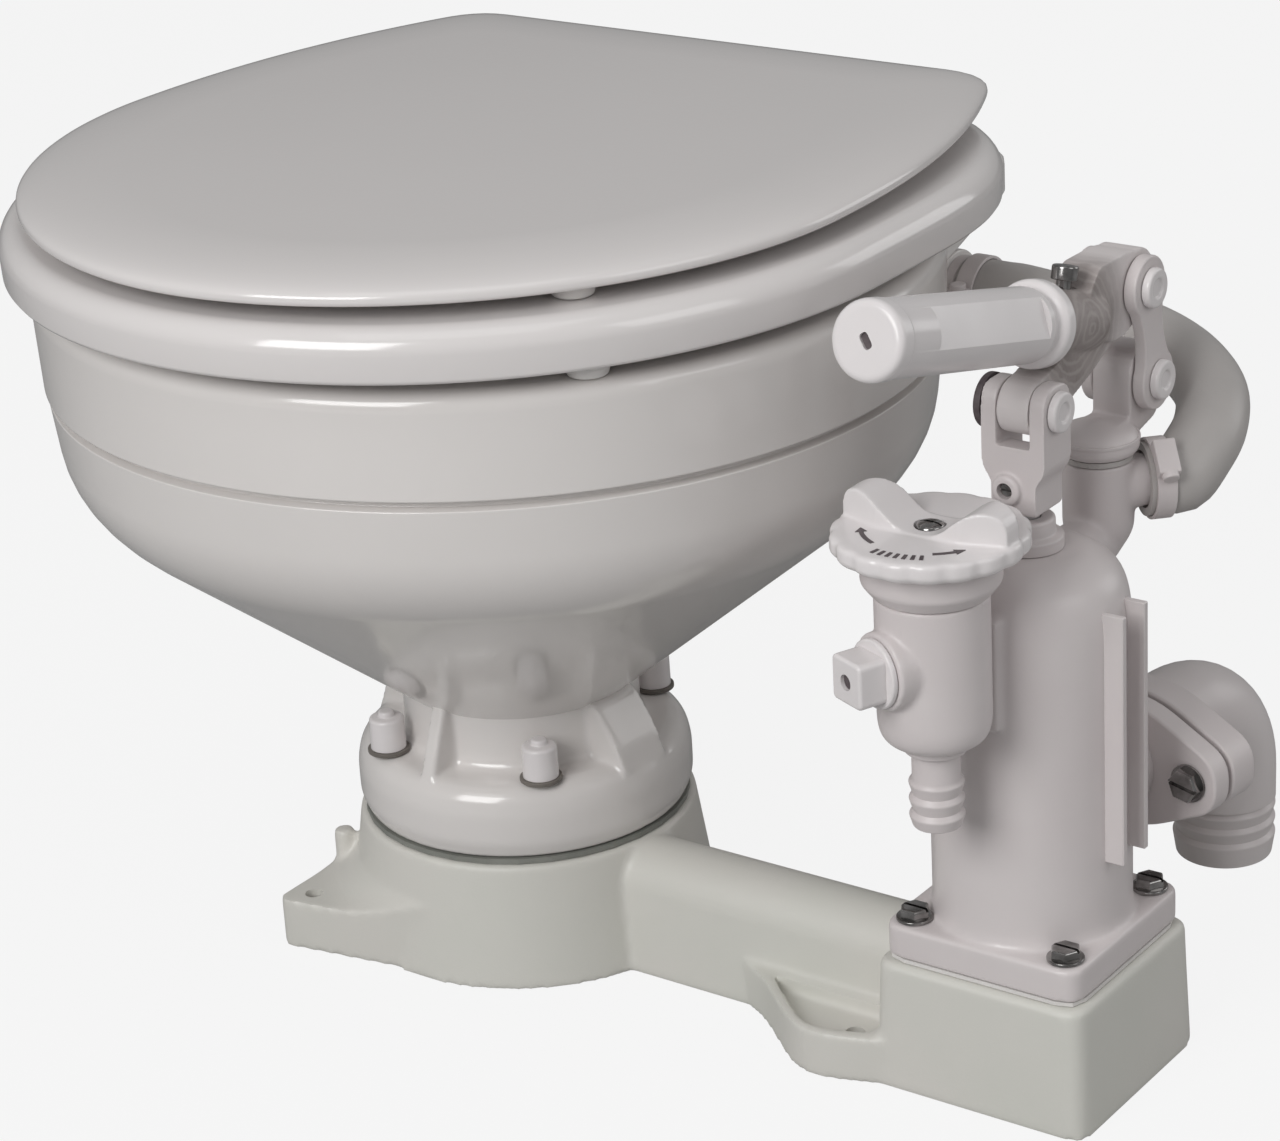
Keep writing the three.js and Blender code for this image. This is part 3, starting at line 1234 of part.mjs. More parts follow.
// A cross pin about X at [y, z], with a cap at each end.
function crossPin([y, z], half, leftR, rightR, radius = PIN_R) {
  const [near, far] = [half + GAP, half + GAP + PIN_CAP_T];
  return turned([
    [0, -far],
    [leftR, -far, 1],
    [leftR, -near],
    [radius, -near],
    [radius, near],
    [rightR, near],
    [rightR, far, 1],
    [0, far],
  ], [0, y, z], [1, 0, 0]);
}

const tilt = rad(GRIP_TILT);
const onGrip = (s, up = 0) => [
  0,
  GRIP_Y - s * Math.cos(tilt) + up * Math.sin(tilt),
  pinZ + GRIP_Z + s * Math.sin(tilt) + up * Math.cos(tilt),
];
const onSetScrew = (up) => onGrip(-SET_SCREW_AT, up);

function leverHub() {
  const socket = turned([[0, 0], [SOCKET_R, 0, 1.5], [SOCKET_R, SOCKET_LENGTH, 5], [0, SOCKET_LENGTH]],
    onGrip(0), onGrip(-1).map((v, i) => v - onGrip(0)[i]), ROUND);
  const [ty, tz] = topPin;
  const head = prismX([
    [ty - 36, tz - 9],
    [ty - 34, tz + 5],
    [ty - 26, tz + HUB_EYE_R + 1, 3],
    [ty, tz + HUB_EYE_R + 0.6, 8],
    [ty + HUB_EYE_R - 2, tz + 6, 4],
    [ty + HUB_EYE_R - 4, tz - 8, 4],
    [ty - 12, tz - 17, 8],
  ], -HUB_HALF, HUB_HALF);
  const eye = rod([-HUB_HALF, ty, tz], [HUB_HALF, ty, tz], HUB_EYE_R, HUB_EYE_R, ROUND);
  const foot = rod([-EYE_HALF, 0, pinZ], [EYE_HALF, 0, pinZ], EYE_R, EYE_R, ROUND);
  const web = prismX([
    [0, pinZ + EYE_R],
    [14, pinZ + EYE_R + 3.4, 3],
    [ty - 22, pinZ + 24],
    [ty - 12, tz - 15],
    [ty - 30, pinZ + 1, 10],
    [2, pinZ - EYE_R + 0.4],
  ], -EYE_HALF, EYE_HALF);
  return cut(
    union(foot, web, socket, head, eye),
    drill(onGrip(1), onGrip(-STEM_IN_SOCKET - 2 * GAP), STEM_R + GAP),
    drill([-HUB_HALF - 5, ty, tz], [HUB_HALF + 5, ty, tz], PIN_R + GAP),
    drill([-EYE_HALF - 1, 0, pinZ], [EYE_HALF + 1, 0, pinZ], PIN_R + GAP),
    drill(onSetScrew(0), onSetScrew(SOCKET_R + 2), SET_SCREW_R + GAP),
    drill(onSetScrew(SOCKET_R), onSetScrew(SET_SCREW_TOP + 8), SET_SCREW_HEAD_R + 2 * GAP),
  );
}

function setScrew() {
  const top = onSetScrew(SET_SCREW_TOP);
  return union(
    rod(onSetScrew(STEM_R + 2 * GAP), onSetScrew(SET_SCREW_TOP - 1), SET_SCREW_R),
    rod(onSetScrew(SET_SCREW_TOP - SET_SCREW_HEAD_T), top, SET_SCREW_HEAD_R, SET_SCREW_HEAD_R, 6),
  );
}

const leverStem = () => rod(onGrip(-STEM_IN_SOCKET), onGrip(STEM_IN_GRIP), STEM_R);

// The grip, its cap and its stem share an axis that leaves the socket at s = 0 toward the front.
const gripWay = onGrip(1).map((v, i) => v - onGrip(0)[i]);

function grip() {
  const bore = STEM_R + GAP;
  const sleeve = turned([
    [bore, GAP],
    [GRIP_COLLAR_R, GAP, 1.2],
    [GRIP_COLLAR_R, GRIP_COLLAR_W, 1.6],
    [GRIP_R - 1.2, GRIP_COLLAR_W + 1.4],
    [GRIP_R - 1.2, GRIP_COLLAR_W + 3.6],
    [GRIP_R, GRIP_COLLAR_W + 4.6, 0.8],
    [GRIP_R, GRIP_LENGTH - GAP, 0.6],
    [bore, GRIP_LENGTH - GAP],
  ], onGrip(0), gripWay, ROUND);
  const flats = [-1, 1].map((s) => {
    const [a, b] = [s * GRIP_FLAT, s * (GRIP_R + 2)];
    const span = [GRIP_COLLAR_W + 8, GRIP_LENGTH - 18];
    const corners = [onGrip(span[0], -8), onGrip(span[1], -8), onGrip(span[1], 8), onGrip(span[0], 8)];
    return prismX(corners.map(([, y, z]) => [y, z, 2]), Math.min(a, b), Math.max(a, b));
  });
  return cut(sleeve, flats);
}

function gripCap() {
  const end = GRIP_LENGTH + CAP_LENGTH;
  const cap = turned([
    [0, end],
    [CAP_R, end, 3],
    [CAP_R, GRIP_LENGTH, 0.5],
    [STEM_R, GRIP_LENGTH],
    [STEM_R, STEM_IN_GRIP + GAP],
    [0, STEM_IN_GRIP + GAP],
  ], onGrip(0), gripWay, ROUND);
  const keyhole = [onGrip(end - 4, -2.6), onGrip(end + 1, -2.6), onGrip(end + 1, 2.6), onGrip(end - 4, 2.6)];
  return cut(cap, prismX(keyhole.map(([, y, z]) => [y, z]), -1.6, 1.6));
}

// Side plate from the upper pin to the post pin, with a waist between its eyes.
function link(side) {
  const [ty, tz] = topPin;
  const length = Math.hypot(LINK_Y, LINK_Z);
  const open = rad(50);
  const [x, y] = [LINK_EYE_R * Math.cos(open), LINK_EYE_R * Math.sin(open)];
  const shape = new THREE.Path();
  shape.absarc(0, 0, LINK_EYE_R, open, 2 * Math.PI - open);
  shape.quadraticCurveTo(length / 2, -2 * LINK_WAIST + y, length - x, -y);
  shape.absarc(length, 0, LINK_EYE_R, -Math.PI + open, Math.PI - open);
  shape.quadraticCurveTo(length / 2, 2 * LINK_WAIST - y, x, y);
  const turn = Math.atan2(LINK_Z, LINK_Y);
  const outline = shape.getPoints(4).slice(0, -1).map((p) => {
    p.rotateAround(new THREE.Vector2(), turn);
    return [ty + p.x, tz + p.y];
  });
  const [inner, outer] = [HUB_HALF + GAP, HUB_HALF + GAP + LINK_T].map((v) => side * v);
  const [x0, x1] = [Math.min(inner, outer), Math.max(inner, outer)];
  return cut(
    prismX(outline, x0, x1),
    [topPin, postPin].map(([py, pz]) => drill([x0 - 1, py, pz], [x1 + 1, py, pz], PIN_R + GAP)),
  );
}

// Cover over the top valve, with the post that holds the links. Its slot takes up what the links' arc and the
// straight rise of the rod differ by while the lever swings.
function topValveCover() {
  const cap = lathe([
    [0, coverZ],
    [COVER_R - 1.6, coverZ],
    [COVER_R, coverZ + 2, 1],
    [COVER_R, coverZ + 5.5, 1.5],
    [COVER_R - 2.5, coverZ + COVER_H - 2, 4],
    [0, coverZ + COVER_H],
  ]).translate([0, RISER_Y, 0]);
  const [py, pz] = postPin;
  const drift = Array.from({ length: 26 }, (_, i) => {
    const a = rad((SWING * i) / 25);
    const y = ARM_Y * (Math.cos(a) - 1) + ARM_Z * Math.sin(a);
    const z = RISE_PER_RADIAN * a - ARM_Y * Math.sin(a) + ARM_Z * (Math.cos(a) - 1);
    return [y, z];
  });
  const clear = PIN_R + GAP;
  const [y0, y1] = [Math.min(...drift.map(([y]) => y)), Math.max(...drift.map(([y]) => y))];
  const [z0, z1] = [Math.min(...drift.map(([, z]) => z)), Math.max(...drift.map(([, z]) => z))];
  const slot = [
    [py + y0 - clear, pz + z0 - clear, 2.4],
    [py + y1 + clear, pz + z0 - clear, 2.4],
    [py + y1 + clear, pz + z1 + clear, 2.4],
    [py + y0 - clear, pz + z1 + clear, 2.4],
  ];
  const foot = outletZ + HOSE_R + CLAMP_T + 3 * GAP;
  const post = prismX([
    [RISER_Y, foot],
    [py - POST_DEPTH + 6, foot],
    [py + POST_DEPTH - 3, foot + 3, 4],
    [py + POST_DEPTH, foot + 12, 4],
    [py + POST_DEPTH, pz + POST_DEPTH, 10],
    [py - POST_DEPTH, pz + POST_DEPTH, 10],
    [py - POST_DEPTH, coverZ + COVER_H - 1],
    [RISER_Y, coverZ + COVER_H - 1],
  ], -POST_HALF, POST_HALF);
  const room = drill([0, RISER_Y, coverZ - 1], [0, RISER_Y, coverZ + 7], RISER_BORE_R + 1);
  return cut(union(cap, post), prismX(slot, -POST_HALF - 1, POST_HALF + 1), room);
}

function topValve() {
  const low = riserZ + GAP;
  return lathe([
    [0, low],
    [RISER_R - 0.2, low],
    [RISER_R - 0.2, low + TOP_VALVE_T],
    [5, low + TOP_VALVE_T],
    [5, low + TOP_VALVE_T + 2.5, 0.8],
    [0, low + TOP_VALVE_T + 2.5],
  ], 24).translate([0, RISER_Y, 0]);
}

// ---- Hose ----

const outletStep = (RISER_R + 3 + GAP) * Math.SQRT1_2;
const hoseStart = [PUMP_X + outletStep, PUMP_Y + RISER_Y + outletStep, outletZ];
const hoseEnd = [inletBossX + SPUD_FLANGE_T + 2 * GAP, INLET_Y, inletZ];
const hoseRoute = [
  hoseStart,
  ...[0.35, 0.7, 1].map((t) => hoseStart.map((v, k) => (k < 2 ? v + t * HOSE_STRAIGHT : v))),
  ...HOSE_WAY.map((shares) => shares.map((t, k) => hoseStart[k] + t * (hoseEnd[k] - hoseStart[k]))),
  ...[24, 16, 8].map((d) => [hoseEnd[0] + d, hoseEnd[1], hoseEnd[2]]),
  hoseEnd,
].map((p) => new THREE.Vector3(...p));
const hoseCurve = new THREE.CatmullRomCurve3(hoseRoute, false, "centripetal");

function bowlHose() {
  const circle = (r) =>
    Array.from({ length: HOSE_SIDES }, (_, i) => {
      const a = (2 * Math.PI * i) / HOSE_SIDES;
      return new THREE.Vector2(r * Math.cos(a), r * Math.sin(a));
    });
  const section = new THREE.Shape(circle(HOSE_R));
  section.holes.push(new THREE.Path(circle(HOSE_BORE_R)));
  return solid(new THREE.ExtrudeGeometry(section, {
    steps: HOSE_STEPS, extrudePath: hoseCurve, bevelEnabled: false,
  }));
}

// A worm-drive band round the hose near one of its ends.
function hoseClamp(fromEnd) {
  const share = CLAMP_AT / hoseCurve.getLength();
  const u = fromEnd ? 1 - share : share;
  const at = hoseCurve.getPointAt(u).toArray();
  const way = hoseCurve.getTangentAt(u).toArray();
  const [inner, outer] = [HOSE_R + GAP, HOSE_R + GAP + CLAMP_T];
  const half = CLAMP_W / 2;
  const band = turned([[inner, -half], [outer, -half], [outer, half], [inner, half]], at, way, 24);
  const worm = aimed(new THREE.BoxGeometry(13, 5, CLAMP_W + 1).translate(0, -outer - 2, 0), at, way);
  return union(band, solid(worm));
}

function inletSpud() {
  const face = inletBossX + GAP;
  return turned([
    [OUTLET_BORE_R, -8],
    [INLET_BORE_R - GAP, -8],
    [INLET_BORE_R - GAP, 0],
    [INLET_BOSS_R - 2, 0],
    [INLET_BOSS_R - 2, SPUD_FLANGE_T, 0.8],
    ...barbs(OUTLET_BARB_R, SPUD_FLANGE_T + GAP, SPUD_LENGTH),
    [OUTLET_BORE_R, SPUD_LENGTH],
  ], [face, INLET_Y, inletZ], [1, 0, 0], 12);
}

// ---- Materials ----

const paint = (color, roughness, metalness = 0) =>
  new THREE.MeshStandardMaterial({ color, roughness, metalness });
const china = paint(0xe6dfdb, 0.12);
const enamel = paint(0xe2dbd8, 0.15);
const castBase = paint(0xdfdcd2, 0.45);
const moulding = paint(0xd8d0cc, 0.42);
const bright = paint(0xeeebe8, 0.25);
const worn = paint(0x8f8480, 0.55, 0.4);
const steel = paint(0x9a9a9a, 0.3, 1);
const dark = paint(0x3a3836, 0.35, 0.9);
const rubber = paint(0x2b2a29, 0.8);
const bumperWhite = paint(0xe0dad6, 0.6);
const hoseGrey = paint(0xa8a19e, 0.5);

// ---- Assembly ----

function piece(parent, name, body, material, position = [0, 0, 0], turn = 0) {
  const { vertProperties, triVerts } = body.getMesh();
  const geometry = new THREE.BufferGeometry();
  geometry.setAttribute("position", new THREE.BufferAttribute(vertProperties, 3));
  geometry.setIndex(new THREE.BufferAttribute(triVerts, 1));
  const mesh = new THREE.Mesh(toCreasedNormals(geometry, CREASE), material);
  mesh.name = name;
  mesh.position.set(...position);
  mesh.rotation.z = turn;
  parent.add(mesh);
}

const toilet = new THREE.Group();
piece(toilet, "base", base(), castBase);
piece(toilet, "bowl_gasket", bowlGasket(), rubber);
piece(toilet, "bowl", bowl(), china);
BOWL_BOLT_ANGLES.forEach((a, i) => {
  const at = [BOWL_BOLT_R * Math.cos(rad(a)), BOWL_BOLT_R * Math.sin(rad(a)), footTop];
  piece(toilet, `bowl_bolt_${i + 1}`, bowlBolt(), bright, at);
});
piece(toilet, "inlet_spud", inletSpud(), moulding);
piece(toilet, "bowl_hose", bowlHose(), hoseGrey);
piece(toilet, "hose_clamp_pump", hoseClamp(false), steel);
piece(toilet, "hose_clamp_bowl", hoseClamp(true), steel);

const seatBody = new THREE.Group();
toilet.add(seatBody);
piece(seatBody, "seat", seat(), enamel);
SEAT_BUMPER_ANGLES.forEach((a, i) => {
  const at = [(BAND_R - BUMPER_R) * Math.cos(rad(a)), (BAND_R - BUMPER_R) * Math.sin(rad(a)), rimZ + GAP];
  piece(seatBody, `seat_bumper_${i + 1}`, bumper(SEAT_BUMPER_T), bumperWhite, at);
});
const leafX = HINGE_X - KNUCKLE_W - GAP;
const lidLeafX = HINGE_X + KNUCKLE_W + GAP;
piece(seatBody, "seat_leaf_right", hingeLeaf(leafX, seatZ, seatBackY), bright);
piece(seatBody, "seat_leaf_left", hingeLeaf(-leafX, seatZ, seatBackY), bright);

const lidBody = new THREE.Group();
seatBody.add(lidBody);
piece(lidBody, "lid", lid(), enamel);
[LID_HALF - LID_BUMPER_IN, LID_BUMPER_IN - LID_HALF].forEach((x, i) => {
  const at = [x, LID_BUMPER_Y, seatZ + SEAT_T + GAP];
  piece(lidBody, `lid_bumper_${i + 1}`, bumper(LID_BUMPER_T), bumperWhite, at);
});
piece(lidBody, "lid_leaf_right", hingeLeaf(lidLeafX, lidZ, lidBackY), bright);
piece(lidBody, "lid_leaf_left", hingeLeaf(-lidLeafX, lidZ, lidBackY), bright);
piece(toilet, "hinge_post_right", hingePost(1), bright);
piece(toilet, "hinge_post_left", hingePost(-1), bright);

const pump = new THREE.Group();
pump.position.set(PUMP_X, PUMP_Y, 0);
toilet.add(pump);
piece(pump, "plate_gasket", plateGasket(), rubber);
piece(pump, "pump_body", pumpBody(), moulding);
plateCorners().forEach(([x, y], i) => piece(pump, `plate_screw_${i + 1}`, plateScrew(), dark, [x, y, 0]));
piece(pump, "gland_nut", glandNut(), moulding);
piece(pump, "top_valve", topValve(), rubber);
piece(pump, "top_valve_cover", topValveCover(), moulding);
piece(pump, "joker_valve", jokerValve(), rubber);
piece(pump, "discharge_elbow", dischargeElbow(), moulding);
piece(pump, "flange_bolt_right", flangeBolt(1), dark);
piece(pump, "flange_bolt_left", flangeBolt(-1), dark);

const valve = new THREE.Group();
valve.position.set(VALVE_X, valveY, 0);
pump.add(valve);
piece(valve, "valve_housing", valveHousing(), moulding);
piece(valve, "valve_collar", valveCollar(), moulding);
piece(valve, "side_plug", sidePlug(), moulding);
piece(valve, "intake_barb", intakeBarb(), moulding);
const knobBody = new THREE.Group();
valve.add(knobBody);
piece(knobBody, "knob", knob(), bright);
piece(knobBody, "knob_screw", knobScrew(), dark);
piece(knobBody, "valve_spindle", valveSpindle(), moulding);

const rodBody = new THREE.Group();
pump.add(rodBody);
piece(rodBody, "piston", piston(), moulding);
piece(rodBody, "piston_ring", pistonRing(), rubber);
piece(rodBody, "piston_rod", pistonRod(), steel);
piece(rodBody, "clevis", clevis(), moulding);
piece(rodBody, "clevis_screw", clevisScrew(), dark);
piece(rodBody, "clevis_pin", crossPin([0, pinZ], CLEVIS_HALF, 9.5, PIN_CAP_R), bright);

const leverBody = new THREE.Group();
rodBody.add(leverBody);
piece(leverBody, "lever_hub", leverHub(), worn);
piece(leverBody, "set_screw", setScrew(), dark);
piece(leverBody, "lever_stem", leverStem(), steel);
piece(leverBody, "grip", grip(), moulding);
piece(leverBody, "grip_cap", gripCap(), bright);

const linkBody = new THREE.Group();
leverBody.add(linkBody);
const linkOuter = HUB_HALF + GAP + LINK_T;
piece(linkBody, "link_right", link(1), moulding);
piece(linkBody, "link_left", link(-1), moulding);
piece(linkBody, "link_pin", crossPin(topPin, linkOuter, PIN_CAP_R, PIN_CAP_R), bright);
piece(linkBody, "post_pin", crossPin(postPin, linkOuter, PIN_CAP_R, PIN_CAP_R), bright);

export default toilet;
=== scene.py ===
import math

import bmesh
import bpy
from mathutils import Matrix, Vector


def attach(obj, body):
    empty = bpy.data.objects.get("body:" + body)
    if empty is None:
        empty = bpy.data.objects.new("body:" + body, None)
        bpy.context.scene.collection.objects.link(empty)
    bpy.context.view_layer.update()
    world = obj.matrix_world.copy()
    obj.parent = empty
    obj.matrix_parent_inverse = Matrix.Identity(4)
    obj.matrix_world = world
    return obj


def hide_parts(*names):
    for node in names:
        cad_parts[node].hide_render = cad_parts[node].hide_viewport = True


bl_info = {
    "name": "Hand-pumped marine toilet",
    "version": (1, 0, 0),
    "blender": (4, 5, 0),
    "location": "3D View > Sidebar > Toilet",
    "description": "Finely shaped and finished pieces over the solids of a hand-pumped marine toilet",
    "category": "Object",
}

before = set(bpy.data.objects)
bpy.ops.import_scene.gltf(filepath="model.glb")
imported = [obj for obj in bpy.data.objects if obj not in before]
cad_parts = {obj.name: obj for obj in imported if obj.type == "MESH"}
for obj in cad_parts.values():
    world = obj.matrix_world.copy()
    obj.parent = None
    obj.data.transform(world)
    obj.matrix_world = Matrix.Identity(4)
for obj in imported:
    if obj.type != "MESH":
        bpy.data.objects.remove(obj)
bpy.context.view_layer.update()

# Millimetres throughout; a finished piece is scaled to metres.
FOOT_TOP = 79.0
BOWL_Z = 50.6
RIM_Z = 272.5
SEAT_Z = 279.0
LID_Z = 304.0
HINGE_Y, HINGE_Z = 168.0, 297.0
PUMP = Vector((230.0, -9.0, 0.0))
VALVE = Vector((227.0, -66.0, 0.0))
BLOCK_H = 48.8
PLATE_Z, PLATE_TOP = 50.8, 63.0
DOME_Z = 199.0
RISER_Y, RISER_Z = 49.0, 214.0
OUTLET_Z = 204.0
GLAND_Z = 199.3
CLEVIS_Z, PIN_Z = 213.0, 249.0
COVER_Z = 216.4
VALVE_Z, VALVE_TOP = 149.0, 203.0
COLLAR_TOP, KNOB_Z = 217.3, 217.6
PORT_Z = 103.0
PORT_FACE, ELBOW_FACE, ELBOW_FLANGE_T = 53.2, 55.3, 13.0
ELBOW_LEG = 115.5
INLET_Y, INLET_Z = 130.0, 232.0
TOP_PIN = (64.0, 273.0)
POST_PIN = (70.0, 238.0)
BOLT_ANGLES = (-46, -120, 134, 60)  # degrees, round the bowl's foot
BOLT_CIRCLE_R, BUMPER_CIRCLE_R = 55.5, 158.4
FLOOR_HOLE_R = 3.5
PIN_HOLE_R = 3.7  # of the linkage
LINK_R = 11  # of a link's round ends
LINK_IN, LINK_OUT = 7.8, 12.5  # a link's faces, from the pump's middle
PORT_TURN = 8  # degrees, clockwise from +Y
ELBOW_R, PORT_BORE_R, BEND_R = 19, 15, 30
FLANGE_BOLT_AT = 35  # to each side of the port's axis
HOSE_R, HOSE_BORE_R = 13, 10.2
SPIGOT_R = 9.4  # over the barbs of the bowl hose's two tails
CLIP_AT = 5.5  # from each end of the hose
KNOB_R = 33
GRIP_TILT = 14.3  # degrees above the level
FLAT_ROLL, SLOT_ROLL = 22, 35  # degrees that the grip's flats and its end slot are turned about it
AROUND = 96  # facets of a turned shape
UP, DOWN = Vector((0, 0, 1)), Vector((0, 0, -1))
X_WAY, FRONT = (1, 0, 0), (0, -1, 0)
WHITE = (1, 1, 1, 1)


# ---- Shapes ----

def polar(radius, angle, x=0.0, y=0.0):
    """A point at a radius and an angle in degrees round another."""
    return x + radius * math.cos(math.radians(angle)), y + radius * math.sin(math.radians(angle))


def bent(start, middle, end, t):
    """A point on the curve that leaves one point and reaches another, both toward the middle one."""
    return start * (1 - t) ** 2 + middle * 2 * t * (1 - t) + end * t * t


def along_line(points, shares):
    """Points at given shares of the length of a line through the given ones."""
    run = [0.0]
    for a, b in zip(points, points[1:]):
        run.append(run[-1] + math.dist(a, b))
    out, k = [], 0
    for want in (run[-1] * share for share in shares):
        while k < len(run) - 2 and run[k + 1] < want:
            k += 1
        t = (want - run[k]) / max(run[k + 1] - run[k], 1e-9)
        out.append(Vector(points[k]).lerp(Vector(points[k + 1]), min(max(t, 0), 1)))
    return out


def rounded(corners, closed=True, points=6):
    """Corners (u, v, cut): a corner with a cut becomes a curve that starts and ends that far from it."""
    out = []
    last = len(corners) - 1
    for i, corner in enumerate(corners):
        here = Vector(corner[:2])
        cut = corner[2] if len(corner) > 2 else 0
        if not cut or (not closed and i in (0, last)):
            out.append(tuple(here))
            continue
        before = Vector(corners[i - 1][:2]) - here
        after = Vector(corners[(i + 1) % len(corners)][:2]) - here
        start = here + before * min(cut / before.length, 0.48)
        end = here + after * min(cut / after.length, 0.48)
        out += [tuple(bent(start, here, end, k / points)) for k in range(points + 1)]
    return out


def placed(bm, at, way=(0, 0, 1)):
    """Turns +Z to a direction and moves the origin to a point."""
    turn = Vector((0, 0, 1)).rotation_difference(Vector(way).normalized()).to_matrix().to_4x4()
    bmesh.ops.transform(bm, matrix=Matrix.Translation(Vector(at)) @ turn, verts=bm.verts)
    return bm


def turned(corners, at=(0, 0, 0), way=(0, 0, 1), around=AROUND):
    """A profile of (radius, height, cut) revolved about a line.

    One that starts off the axis closes on itself.
    """
    ring = corners[0][0] > 0
    profile = rounded(corners, ring)
    bm = bmesh.new()
    verts = [bm.verts.new((r, 0, z)) for r, z in profile]
    edges = [bm.edges.new(pair) for pair in zip(verts, verts[1:])]
    if ring:
        edges.append(bm.edges.new((verts[-1], verts[0])))
    bmesh.ops.spin(
        bm, geom=verts + edges, cent=(0, 0, 0), axis=(0, 0, 1), dvec=(0, 0, 0),
        angle=2 * math.pi, steps=around, use_merge=True,
    )
    bmesh.ops.remove_doubles(bm, verts=bm.verts, dist=1e-4)
    bmesh.ops.recalc_face_normals(bm, faces=bm.faces)
    return placed(bm, at, way)


ALONG = {
    "x": Matrix(((0, 0, 1, 0), (1, 0, 0, 0), (0, 1, 0, 0), (0, 0, 0, 1))),
    "y": Matrix(((1, 0, 0, 0), (0, 0, 1, 0), (0, 1, 0, 0), (0, 0, 0, 1))),
    "z": Matrix.Identity(4),
}


def slab(corners, low, high, along="z", edge=0.0, points=6):
    """An outline extruded along an axis: (x, y) along z, (y, z) along x, (x, z) along y.

    Edge rounds both its rims.
    """
    bm = bmesh.new()
    face = bm.faces.new([bm.verts.new((u, v, low)) for u, v in rounded(corners, points=points)])
    grown = bmesh.ops.extrude_face_region(bm, geom=[face])["geom"]
    bmesh.ops.translate(
        bm, vec=(0, 0, high - low), verts=[g for g in grown if isinstance(g, bmesh.types.BMVert)]
    )
    if edge:
        rims = [e for e in bm.edges if abs(e.verts[0].co.z - e.verts[1].co.z) < 1e-6]
        bmesh.ops.bevel(
            bm, geom=rims, offset=edge, offset_type="OFFSET", segments=4, profile=0.5,
            affect="EDGES", clamp_overlap=False, material=-1,
        )
    bmesh.ops.transform(bm, matrix=ALONG[along], verts=bm.verts)
    bmesh.ops.recalc_face_normals(bm, faces=bm.faces)
    return bm


def rod(start, end, r0, r1=None, around=48):
    """A round bar, or a cone, between two points."""
    way = Vector(end) - Vector(start)
    bm = bmesh.new()
    bmesh.ops.create_cone(
        bm, cap_ends=True, segments=around, radius1=r0, radius2=r0 if r1 is None else r1, depth=way.length,
        matrix=Matrix.Translation((0, 0, way.length / 2)),
    )
    return placed(bm, start, way)


def stacked(rings, caps=True):
    """A skin over rings of equally many points, each grown from the one before."""
    bm = bmesh.new()
    verts = [bm.verts.new(p) for p in rings[0]]
    edges = [bm.edges.new((verts[i - 1], verts[i])) for i in range(len(verts))]
    first = edges
    for ring in rings[1:]:
        grown = bmesh.ops.extrude_edge_only(bm, edges=edges)["geom"]
        fresh = {g for g in grown if isinstance(g, bmesh.types.BMVert)}
        verts = [next(e.other_vert(v) for e in v.link_edges if e.other_vert(v) in fresh) for v in verts]
        for v, p in zip(verts, ring):
            v.co = p
        edges = [g for g in grown if isinstance(g, bmesh.types.BMEdge) and set(g.verts) <= fresh]
    if caps:
        bmesh.ops.edgeloop_fill(bm, edges=first)
        bmesh.ops.edgeloop_fill(bm, edges=edges)
    bmesh.ops.remove_doubles(bm, verts=bm.verts, dist=1e-4)
    bmesh.ops.recalc_face_normals(bm, faces=bm.faces)
    return bm


def piped(points, radius, bore=0.0, around=48):
    """A round pipe along points, with frames carried from one to the next; a bore leaves it hollow."""
    points = [Vector(p) for p in points]
    count = len(points)
    side = None
    outer, inner = [], []
    for i, p in enumerate(points):
        along = (points[min(i + 1, count - 1)] - points[max(i - 1, 0)]).normalized()
        side = (side - along * side.dot(along)).normalized() if side else along.orthogonal().normalized()
        over = along.cross(side)
        turn = [2 * math.pi * k / around for k in range(around)]
        spokes = [side * math.cos(a) + over * math.sin(a) for a in turn]
        r = radius(i / (count - 1)) if callable(radius) else radius
        outer.append([p + s * r for s in spokes])
        inner.append([p + s * bore for s in spokes])
    if not bore:
        return stacked(outer)
    return stacked(outer + inner[::-1] + [outer[0]], caps=False)


def curve_through(points, count):
    """Points spaced along a smooth curve through the given ones."""
    p = [Vector(q) for q in points]
    p = [2 * p[0] - p[1]] + p + [2 * p[-1] - p[-2]]
    fine = []
    for a, b, c, d in zip(p, p[1:], p[2:], p[3:]):
        for k in range(24):
            t = k / 24
            square, cube = 2 * a - 5 * b + 4 * c - d, 3 * b - a - 3 * c + d
            fine.append(0.5 * (2 * b + (c - a) * t + square * t * t + cube * t ** 3))
    fine.append(p[-2])
    return along_line(fine, [i / (count - 1) for i in range(count)])


def together(*shapes):
    """Several shapes as one bmesh."""
    bm = shapes[0]
    for other in shapes[1:]:
        mesh = bpy.data.meshes.new("part")
        other.to_mesh(mesh)
        other.free()
        bm.from_mesh(mesh)
        bpy.data.meshes.remove(mesh)
    return bm


def moved(bm, by=(0, 0, 0), turn=0.0):
    """Turns a shape about Z, in degrees, and then moves it."""
    spin = Matrix.Rotation(math.radians(turn), 4, "Z")
    bmesh.ops.transform(bm, matrix=Matrix.Translation(Vector(by)) @ spin, verts=bm.verts)
    return bm


def as_object(bm, name="work"):
    """An object in the scene with a shape's mesh. The shape is freed."""
    mesh = bpy.data.meshes.new(name)
    bm.to_mesh(mesh)
    bm.free()
    obj = bpy.data.objects.new(name, mesh)
    bpy.context.scene.collection.objects.link(obj)
    return obj


def applied(obj, *spare):
    """The shape that an object's modifiers give, as a bmesh. The objects used for it are removed."""
    bpy.context.view_layer.update()
    graph = bpy.context.evaluated_depsgraph_get()
    bm = bmesh.new()
    bm.from_mesh(obj.evaluated_get(graph).to_mesh())
    for used in (obj, *spare):
        mesh = used.data
        bpy.data.objects.remove(used)
        bpy.data.meshes.remove(mesh)
    return bm


